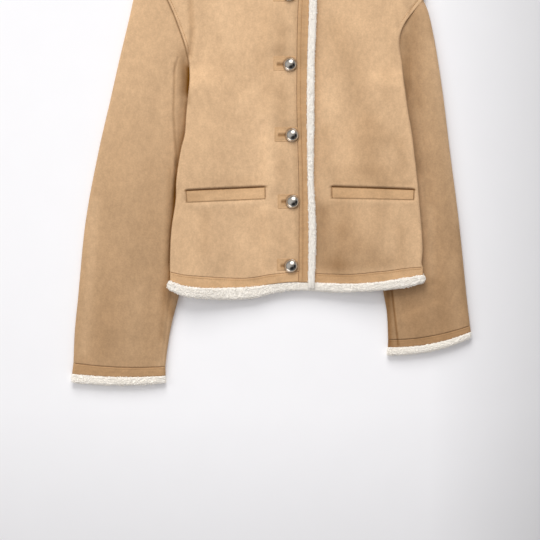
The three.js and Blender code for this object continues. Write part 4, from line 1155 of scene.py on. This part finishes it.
def rounded_ends(grid, reaches):
    """A strip whose ends are rounded in plan: each column closes in on the strip's middle as a
    quarter circle does."""
    middle = (grid[:1] + grid[-1:]) / 2
    share = np.ones(grid.shape[1])
    for end, reach in zip((0, -1), reaches):
        if reach:
            share = share * full(np.linalg.norm(middle[0] - middle[0, end], axis=-1), reach)
    return middle + (grid - middle) * share[None, :, None]


def ragged(edge, reach, seed, axis=1):
    """An edge with the small unevenness of clipped pile, which fades out at its ends."""
    def at(t):
        p, t = edge(t), np.asarray(t, float)
        along = p[..., 1 - axis]
        coarse, fine = (lumps(along, 0 * along, s, seed + k) for k, s in enumerate((5, 2.2)))
        p[..., axis] += reach * (0.6 * coarse + 0.4 * fine) * smooth(np.minimum(t, 1 - t) / 0.02)
        return p

    return at


# Sleeves


def bowed(cuff, aside=0.0):
    """A cuff's line from its outer to its inner end, bowed towards the hand and moved by a
    distance."""
    outer, inner, bow = cuff
    outer, inner = np.array(outer, float), np.array(inner, float)
    run = inner - outer
    hand = -np.sign(run[0]) / np.linalg.norm(run)
    down = np.array([-hand * run[1], hand * run[0]])

    def at(t):
        t = np.asarray(t, float)[..., None]
        return mix(outer, inner, t) + (4 * bow * t * (1 - t) + aside) * down

    return at


def puff_of(s):
    """How far a sleeve's top layer stands off its under layer: a half sine between its outer fold
    and its inner one, or the body's side where that lies on it. It lies flatter at the cuff and
    at the armhole."""
    shy = math.copysign(COVER_SHY, s["outer"][0][0])
    hand = s["cuff"][2][0][1]

    def at(x, y):
        start = edge_at(s["outer"], y)
        cover = smooth((y - COVER_FROM) / COVER_RUN)
        end = mix(edge_at(s["inner"], y), edge_at(s["side"], y) + shy, cover)
        share = np.clip((x - start) / (end - start), 0, 1)
        free = smooth((s["armpit"] + PUFF_FADE - y) / (2 * PUFF_FADE))
        flat = mix(PUFF_AT_CUFF, 1, smooth((y - hand) / CUFF_RUN))
        return SLEEVE_PUFF * flat * np.sin(np.pi * share) * mix(PUFF_AT_ARMHOLE, 1, free)

    return at


RIGHT_SLEEVE = {
    "name": "right_sleeve", "outer": RIGHT_SLEEVE_OUTER, "inner": RIGHT_SLEEVE_INNER,
    "side": RIGHT_SIDE, "cuff": RIGHT_CUFF, "armhole": RIGHT_ARMHOLE, "armpit": RIGHT_ARMPIT,
    "mirrored": False, "seam": RIGHT_SLEEVE_SEAM,
    # painted light and shade: painted shade darkens the sleeve towards its cuff
    "nap": painted_light_of(RIGHT_SLEEVE_LIGHT_AND_SHADE, -330, 0.73, 150, 0.95),
    "creases": [
        ([(-163.5, 100), (-162, 82), (-164, 50), (-167, 20), (-171, -20)], 9, -5),
        ([(-177, -52), (-180, -80), (-184, -120), (-188, -200)], 4.5, -3.6),
        ([(-230, -250), (-214, -300), (-206, -335)], 11, 1.3),
        ([(-212, -240), (-222, -300)], 12, -1.2),
        ([(-262, 120), (-236, 20), (-226, -60)], 18, 0.9),
        ([(-300, -300), (-280, -220), (-270, -130)], 16, -0.9),
        ([(-250, -330), (-262, -250), (-246, -160)], 15, 0.8),
        ([(-204, 60), (-214, 0), (-220, -60)], 12, -0.8),
    ],
}
LEFT_SLEEVE = {
    "name": "left_sleeve", "outer": LEFT_SLEEVE_OUTER, "inner": LEFT_SLEEVE_INNER,
    "side": LEFT_SIDE, "cuff": LEFT_CUFF, "armhole": LEFT_ARMHOLE, "armpit": LEFT_ARMPIT,
    "mirrored": True, "seam": LEFT_SLEEVE_SEAM,
    # painted light and shade: painted shade darkens the sleeve towards its cuff, and more than the
    # right one, as the light falls off towards the wearer's left
    "nap": painted_light_of(LEFT_SLEEVE_LIGHT_AND_SHADE, -300, 0.66, 100, 0.8),
    "creases": [
        ([(166, 110), (167, 50), (175, 0), (182, -50)], 12, -3),
        ([(184, -60), (188, -110), (190, -190)], 6, -1),
        ([(206, -160), (190, -250), (180, -300)], 15, 0.9),
        ([(228, -120), (224, -210), (226, -280)], 16, -0.7),
        ([(200, 100), (206, 20), (216, -60)], 10, 0.7),
        ([(240, -200), (246, -270)], 8, 0.5),
    ],
}


def turned(s, edge):
    """An edge run the other way on the mirrored sleeve, so that each grid runs left to right."""
    return (lambda t: edge(1 - np.asarray(t, float))) if s["mirrored"] else edge


def sleeve_plan(s):
    """A sleeve between its folds, its cuff seam and its armhole."""
    bottom = turned(s, bowed(s["cuff"][0]))
    aside = -SEAM if s["mirrored"] else SEAM
    armhole = offset(np.array(s["armhole"], float), aside)[::-1]
    outer = curve(s["outer"][:-1] + [tuple(armhole[0])])
    inner = curve(s["inner"][:-1] + [tuple(armhole[-1])])
    folds = (inner, outer) if s["mirrored"] else (outer, inner)
    return patch(*folds, bottom, turned(s, curve(armhole)))


def make_sleeve(s, length):
    """A sleeve, its cuff's turned strip and its cuff's shearling edge: flattened tubes."""
    outward = 1 if s["mirrored"] else -1
    puff = puff_of(s)

    def sleeve_mark(x, y, gaps):
        off, past = off_path(s["seam"], x, y)
        groove = -1.1 * bell(off / 1.5) + 0.45 * bell((off * outward + 3.2) / 2.2)
        end = 0.9 * (full(gaps[2], SEAM_ROUND * 1.2) - 1) + 0.45 * (full(gaps[3], 1.1) - 1)
        return creases(s["creases"], x, y) + groove * (past < 1) + 2.4 * end

    def band_mark(x, y, gaps):
        ends = 1.9 * (full(gaps[2], 1.6) - 1) + 2.2 * (full(gaps[3], 1.8) - 1)
        return ends + 0.25 * lumps(x, 3 * y, 9, 15) + channel(gaps[3], 3.4, 0.6, 0.4)

    def pile_round(x, y, gaps):
        rounding = 4.2 * (full(gaps[2], 3.6) - 1) + 1.2 * (full(gaps[3], 2) - 1)
        return rounding + pile_mark(70)(x, y, gaps) - 2

    def cuff_plan(k, low, step):
        high = turned(s, bowed(s["cuff"][k], SEAM))
        across = stations(13, 0.9, CUFF_STEPS, CUFF_STEPS)
        return between(low, high)(stations(140, step, TUBE_STEPS, TUBE_STEPS), across)

    us = stations(150, 1.9, TUBE_STEPS, TUBE_STEPS)
    grid = sleeve_plan(s)(us, stations(560, 3.2, ROUND_STEPS, ROUND_STEPS))
    skins = tube_skins(grid, SLEEVE_HIGH, puff, sleeve_mark)
    name = s["name"]
    shape = merged(skins)
    # the sleeve and its cuff band take the sleeve's painted light and shade
    sleeve = new_piece(name + "_suede", shape, ("panel", "pile"), s["nap"], "suede", name)
    strip, edge = (name.replace("sleeve", part) for part in ("cuff_band", "cuff_trim"))
    grid = cuff_plan(0, turned(s, bowed(s["cuff"][1])), 2.2)
    band = make_band(strip, tube_skins(grid, SLEEVE_HIGH, puff, band_mark), s["nap"])
    grid = cuff_plan(1, ragged(turned(s, bowed(s["cuff"][2])), 0.7, 45), 1.2)
    skins = tube_skins(grid, CUFF_TRIM_HIGH, puff, pile_round)
    spots = [(skins[0][0], CUFF_TUFTS)]
    # 1.02: painted light on the cuff trims, whose rounded tops turn from the light
    return sleeve, band, add_pile(edge, skins, spots, length, 121, 1.02)


# What lies on the fronts


def make_welts():
    """Pocket welts: straight strips, sunk into the panel's window, with a row across each end."""
    def mark(x, y, gaps):
        ends = sum(channel(gap, 2.2, 0.6, 0.3) for gap in gaps[:2])
        return ends + 0.15 * lumps(x, 3 * y, 12, 21)

    made = []
    for side, on in (("right", on_right), ("left", on_left)):
        low_left, low_right, high_left, high_right = WELTS[side]
        plan = between(line(low_left, low_right), line(high_left, high_right))
        steps = (stations(n, step, ROUND_STEPS, ROUND_STEPS) for n, step in ((120, 2), (17, 1.2)))
        skins = wall_skins(
            plan(*steps), (1.2, 1.2, 1.6, 2.0), on(-1.8), WELT_THICK, mark, (0, 0))
        name, shape = f"pocket_welt_{side}", merged(skins)
        piece = new_piece(name + "_suede", shape, ["band"], body_painted_light, "suede_band", name)
        made.append(piece)
    return made


def make_patches():
    """Buttonhole patches: thin squares with a row of stitches round them, a slit and its lips."""
    made = []
    for k, (bx, by, left, right, top, bottom) in enumerate(BUTTONS):
        def mark(x, y, gaps):
            inside = smooth((x - left - 4.5) / 2)
            lips = bell((abs(y - by) - 4.2) / 1.8) * inside
            slit = bell((y - by) / 2.6) * inside
            return 0.35 * lips - 0.5 * slit + sum(channel(g, 1.9, 0.6, 0.25) for g in gaps)

        def nap(x, y):
            """Painted shade: darker in the slit, along the patch's edges and in a ring about the
            button, where shade falls.
            """
            slit_shade = smooth((x - left - 3.5) / 3) * bell((y - by) / 3)
            edge = np.minimum(np.minimum(x - left, right - x), np.minimum(y - bottom, top - y))
            ring = bell((np.hypot(x - bx, y - by) - 10.2) / 1.2)
            return (1 - 0.5 * slit_shade) * (1 - 0.12 * bell(edge / 1.1)) * (1 - 0.35 * ring)

        plan = between(line((left, bottom), (right, bottom)), line((left, top), (right, top)))
        us = stations(right - left, 0.7, PATCH_STEPS, PATCH_STEPS)
        grid = plan(us, stations(top - bottom, 0.6, PATCH_STEPS, PATCH_STEPS))
        skins = wall_skins(grid, [1.6] * 4, on_right(-0.8), PATCH_THICK, mark, (0, 0))
        name, shape = f"buttonhole_patch_{k + 1}", merged(skins)
        made.append(new_piece(name + "_suede", shape, ["band"], nap, "suede_band", name))
    return made


def make_buttons():
    """Domed shank buttons: a profile turned round its own middle, from the shank's foot up under
    the rolled rim and over the dome."""
    made = []
    for k, (bx, by, *_) in enumerate(BUTTONS):
        seat = float(on_right(2 * LYING + PATCH_THICK)(np.array(bx), np.array(by)))
        foot = float(on_left(LYING)(np.array(bx), np.array(by)))
        angle, rim = np.linspace(0, QUARTER, 14), np.linspace(-QUARTER, QUARTER * 0.6, 8)
        dome = np.stack([DOME * np.cos(angle), seat + 2 * RIM + DOME_HIGH * np.sin(angle)], -1)
        roll = np.stack([DOME + RIM * np.cos(rim), seat + 0.1 + RIM + RIM * np.sin(rim)], -1)
        shank = [(0, foot), (SHANK, foot), (SHANK, seat + 0.1), (UNDERSIDE, seat + 0.1)]
        profile = np.vstack([shank, roll, dome])
        profile[-1, 0] = 0
        turn = np.linspace(0, 2 * math.pi, 49)
        turn[-1] = 0
        r, z = profile[:, :1], profile[:, 1:]
        grid = np.stack([bx + r * np.cos(turn), by + r * np.sin(turn), z + 0 * turn], -1)
        name, shape = f"button_{k + 1}", merged([(grid, True, 0)])
        made.append(new_piece(name + "_metal", shape, ["metal"], None, "silver_metal", name))
    return made


# Stitching


def stitch_row(name, paths, high, sizes):
    """Rows of stitches: each one is a spindle of four sides whose middle arches out of the cloth,
    laid along its path end to end with a small space."""
    pitch, thick = sizes.stitch_pitch / MM, sizes.stitch_thick / MM / 2
    rings, share = [], np.linspace(0, 1, len(STITCH_TAPER))
    for path in paths:
        s = lengths(path)
        count = max(2, int(s[-1] / pitch))
        step = s[-1] / count
        start = (np.arange(count) + STITCH_START) * step
        at = start[:, None] + STITCH_FILL * step * share
        x, y = (np.interp(at, s, path[:, i]) for i in (0, 1))
        centre = np.stack([x, y, high(x, y) + ARCH * np.sin(np.pi * share) - SUNK], -1)
        run = unit(centre[:, -1] - centre[:, 0])
        side = unit(np.cross(run, [0, 0, 1.0]))
        reach = thick * np.array(STITCH_TAPER)[None, :, None, None]
        turn = -QUARTER * np.arange(4)
        rings.append(round_about(centre, reach, side, np.cross(side, run), turn).reshape(-1, 3))
    points = np.concatenate(rings)
    quads = ring_faces(len(points) // (4 * len(share)), len(share))
    return new_piece(name, (points, quads, np.zeros(len(quads))), ["thread"], None, "suede")


def make_stitching(sizes):
    """Rows down the front edge, along the hem bands and beside the armholes."""
    t = np.linspace(0, 1, 400)
    seam = front_edge_line("seam", BAND_FOOT_Y - 10, SEAM)(t)
    edge = front_edge_line("edge", BAND_FOOT_Y - 10, 0)(t)
    hem = [
        hem_line("seam", *ends, -SEAM - HEM_ROW)(t)
        for ends in ((RIGHT_HEM_X + 3, BAND_FOOT_X - 1), (33, LEFT_HEM_X - 3))
    ]
    right_arm = offset(curve(RIGHT_ARMHOLE)(np.linspace(0.08, 0.98, 200)), -ARM_ROW["right"])
    left_arm = offset(curve(LEFT_ARMHOLE)(np.linspace(0.4, 0.98, 200)), ARM_ROW["left"])
    rows = (
        ("front_edge_stitching", [seam + [SEAM_ROW, 0], edge - [EDGE_ROW, 0]], on_right(-0.35)),
        ("hem_stitching_right", hem[:1], on_right(-0.25)),
        ("hem_stitching_left", hem[1:], on_left(-0.25)),
        ("armhole_stitching_right", [right_arm], on_right(-0.35)),
        ("armhole_stitching_left", [left_arm], on_left(-0.35)),
    )
    return [stitch_row(*row, sizes) for row in rows]


# Stage


# What polished metal mirrors: the direction, the angles within and beyond which it is full and
# gone, and its strength: the window's two panes, a card near the floor, a pale wall, and dark
# corners of the room, which take light away
MIRRORED = [
    ((0.16, 0.62, 0.77), 0.12, 0.46, 2.2), ((0.3, 0.86, 0.41), 0.1, 0.4, 1.2),
    ((-0.56, -0.82, 0.12), 0.15, 0.5, 1.8), ((0.1, -0.5, 0.86), 0.1, 0.5, -0.4),
    ((0.74, -0.05, 0.67), 0.05, 0.4, -0.4), ((-0.5, 0.05, 0.86), 0.1, 0.8, 0.26),
    ((0.6, -0.4, 0.69), 0.2, 0.8, -0.2),
]


def area_lamp(name, place, aim, wide, tall, power):
    """A flat lamp that faces a point and doesn't show in polished metal."""
    data = bpy.data.lights.new(name, "AREA")
    data.shape, data.size, data.size_y, data.energy = "RECTANGLE", wide, tall, power
    lamp = bpy.data.objects.new(name, data)
    lamp.location = place
    lamp.rotation_mode = "QUATERNION"
    lamp.rotation_quaternion = Vector(np.array(place) - np.array(aim)).to_track_quat("Z", "Y")
    lamp.visible_glossy = False
    bpy.context.scene.collection.objects.link(lamp)


def make_world(room_light):
    """Cloth is lit by an evenly pale room, and metal mirrors its window, card and dark corners."""
    world = bpy.data.worlds.new("pale room")
    world.use_nodes = True
    tree = world.node_tree
    background = tree.nodes["Background"]
    background.inputs["Color"].default_value = (*linear("#F7F6F8"), 1)
    sky = node(tree, "TexCoord", out="Generated")
    up = node(tree, "SeparateXYZ", {0: sky}, "Z")
    mirrored = node(tree, "MapRange", {0: up, 1: 0, 2: 0.3, 3: 0.2, 4: 0.34})
    for toward, inner, outer, strength in MIRRORED:
        facing = node(tree, "VectorMath", {0: sky, 1: toward}, "Value", operation="DOT_PRODUCT")
        span = {0: facing, 1: math.cos(outer), 2: math.cos(inner), 3: 0, 4: strength}
        glow = node(tree, "MapRange", span, interpolation_type="SMOOTHSTEP")
        mirrored = node(tree, "Math", {0: mirrored, 1: glow}, operation="ADD")
    pale = {0: up, 1: 0, 2: 1, 3: 0.7 * room_light, 4: 1.15 * room_light}
    light = node(tree, "Mix", {
        0: node(tree, "LightPath", out="Is Glossy Ray"),
        2: node(tree, "MapRange", pale),
        3: node(tree, "Math", {0: mirrored, 1: 0.03}, operation="MAXIMUM"),
    })
    tree.links.new(light, background.inputs["Strength"])
    bpy.context.scene.world = world


def make_stage(sizes):
    """A pale floor, one large soft light from the neck's side, a weak fill, and a camera straight
    above."""
    scene = bpy.context.scene
    t = np.linspace(-4000, 4000, 3)
    grid = np.stack([*np.meshgrid(t, t), np.full((3, 3), -0.3)], -1)
    floor = new_piece("floor_board", merged([(grid, True, 0)]), ["floor"])
    area_lamp("softbox", (-0.4, 3.0, 2.5), (-0.05, -0.1, 0), 2.2, 2.6, sizes.key_power)
    area_lamp("fill_panel", (-2.4, 0.2, 1.9), (-0.2, -0.1, 0), 1.4, 1.4, sizes.fill_power)
    make_world(sizes.room_light)
    # the picture is 0.81 m across at the floor, seen from 6 m above
    height, across = 6.0, 0.81
    lens = bpy.data.cameras.new("camera")
    lens.sensor_width, lens.lens = 36, 36 * height / across
    lens.clip_start, lens.clip_end = 0.1, 20
    camera = bpy.data.objects.new("camera", lens)
    camera.location = (-0.039, -0.21, height)
    scene.collection.objects.link(camera)
    scene.camera = camera
    scene.view_settings.view_transform = "Standard"


def declare_cloth(made):
    """Gathers the pieces sewn to the cloth and a way to pick them by name, and uses neither."""
    groups = ("allowances", "bands", "trims", "welts", "patches", "buttons", "stitching")
    sewn = [piece for group in groups for piece in made[group]]

    def on(*words):
        return [piece for piece in sewn if any(word in piece.name for word in words)]


# The add-on's settings, operators and panel


def colour_setting(name, about, default):
    return bpy.props.StringProperty(name=name, description=about, default=default)


def length_setting(name, about, default):
    return bpy.props.FloatProperty(
        name=name, description=about, default=default * MM, unit="LENGTH", subtype="DISTANCE")


def power_setting(name, about, default):
    return bpy.props.FloatProperty(name=name, description=about, default=default, unit="POWER")


class JacketSizes(bpy.types.PropertyGroup):
    """The jacket's colours, its small sizes and the stage's lights"""
    suede_colour: colour_setting("Suede", "Colour of the suede panels", "#D4B089")
    band_colour: colour_setting("Bands", "Colour of the turned suede strips", "#D0A97F")
    pile_colour: colour_setting("Shearling", "Colour of the pile", "#FFF9EF")
    metal_colour: colour_setting("Buttons", "Colour of the polished metal", "#DAD3C8")
    thread_colour: colour_setting("Thread", "Colour of the stitching", "#B98C5C")
    floor_colour: colour_setting("Floor", "Colour of the floor", "#FCFBFC")
    pile_length: length_setting("Pile length", "Length of a tuft of pile", 1.5)
    stitch_pitch: length_setting("Stitch pitch", "Length of one stitch with its space", 3.2)
    stitch_thick: length_setting("Thread thickness", "Thickness of the thread", 0.6)
    key_power: power_setting("Softbox power", "Power of the large soft light", 123)
    fill_power: power_setting("Fill power", "Power of the weak fill light", 18)
    room_light: bpy.props.FloatProperty(
        name="Room light", description="Strength of the light from all round", default=0.5)


MADE = {}


class JACKET_OT_panels(bpy.types.Operator):
    """Make the two fronts, the back and their seam allowances"""
    bl_idname, bl_label = "jacket.panels", "Panels"

    def execute(self, context):
        MADE["panels"] = make_panels()
        MADE["allowances"] = make_allowances()
        return {"FINISHED"}


class JACKET_OT_bands(bpy.types.Operator):
    """Make the suede strips along the hem and down the front edge"""
    bl_idname, bl_label = "jacket.bands", "Bands"

    def execute(self, context):
        MADE["bands"] = make_bands()
        return {"FINISHED"}


class JACKET_OT_trims(bpy.types.Operator):
    """Make the shearling edges of the hem, the front and the neckline"""
    bl_idname, bl_label = "jacket.trims", "Shearling edges"

    def execute(self, context):
        MADE["trims"] = make_trims(context.scene.jacket_sizes.pile_length / MM)
        return {"FINISHED"}


class JACKET_OT_sleeves(bpy.types.Operator):
    """Make both sleeves with their cuffs"""
    bl_idname, bl_label = "jacket.sleeves", "Sleeves"

    def execute(self, context):
        pile = context.scene.jacket_sizes.pile_length / MM
        MADE["sleeves"] = [make_sleeve(s, pile) for s in (RIGHT_SLEEVE, LEFT_SLEEVE)]
        return {"FINISHED"}


class JACKET_OT_pockets(bpy.types.Operator):
    """Make the pocket welts"""
    bl_idname, bl_label = "jacket.pockets", "Pocket welts"

    def execute(self, context):
        MADE["welts"] = make_welts()
        return {"FINISHED"}


class JACKET_OT_buttonholes(bpy.types.Operator):
    """Make the buttonhole patches"""
    bl_idname, bl_label = "jacket.buttonholes", "Buttonhole patches"

    def execute(self, context):
        MADE["patches"] = make_patches()
        return {"FINISHED"}


class JACKET_OT_buttons(bpy.types.Operator):
    """Make the metal buttons"""
    bl_idname, bl_label = "jacket.buttons", "Buttons"

    def execute(self, context):
        MADE["buttons"] = make_buttons()
        return {"FINISHED"}


class JACKET_OT_stitching(bpy.types.Operator):
    """Make the rows of stitches"""
    bl_idname, bl_label = "jacket.stitching", "Stitching"

    def execute(self, context):
        MADE["stitching"] = make_stitching(context.scene.jacket_sizes)
        return {"FINISHED"}


class JACKET_OT_cloth(bpy.types.Operator):
    bl_idname, bl_label = "jacket.cloth", "Cloth sizes"

    def execute(self, context):
        declare_cloth(MADE)
        return {"FINISHED"}


class JACKET_OT_stage(bpy.types.Operator):
    """Make the floor, the lights and the camera"""
    bl_idname, bl_label = "jacket.stage", "Stage"

    def execute(self, context):
        make_stage(context.scene.jacket_sizes)
        return {"FINISHED"}


OPERATORS = (
    JACKET_OT_panels, JACKET_OT_bands, JACKET_OT_trims, JACKET_OT_sleeves, JACKET_OT_pockets,
    JACKET_OT_buttonholes, JACKET_OT_buttons, JACKET_OT_stitching, JACKET_OT_cloth,
    JACKET_OT_stage,
)


class JACKET_PT_panel(bpy.types.Panel):
    """Lists what the jacket is made of"""
    bl_idname, bl_label = "JACKET_PT_panel", "Suede jacket"
    bl_space_type, bl_region_type, bl_category = "VIEW_3D", "UI", "Jacket"

    def draw(self, context):
        for name in JacketSizes.__annotations__:
            self.layout.prop(context.scene.jacket_sizes, name)
        for operator in OPERATORS:
            self.layout.operator(operator.bl_idname)


CLASSES = (JacketSizes, *OPERATORS, JACKET_PT_panel)


def register():
    for cls in CLASSES:
        bpy.utils.register_class(cls)
    bpy.types.Scene.jacket_sizes = bpy.props.PointerProperty(type=JacketSizes)


def unregister():
    del bpy.types.Scene.jacket_sizes
    for cls in reversed(CLASSES):
        bpy.utils.unregister_class(cls)


def main():
    register()
    for operator in OPERATORS:
        group, name = operator.bl_idname.split(".")
        getattr(getattr(bpy.ops, group), name)()


if __name__ == "__main__":
    main()
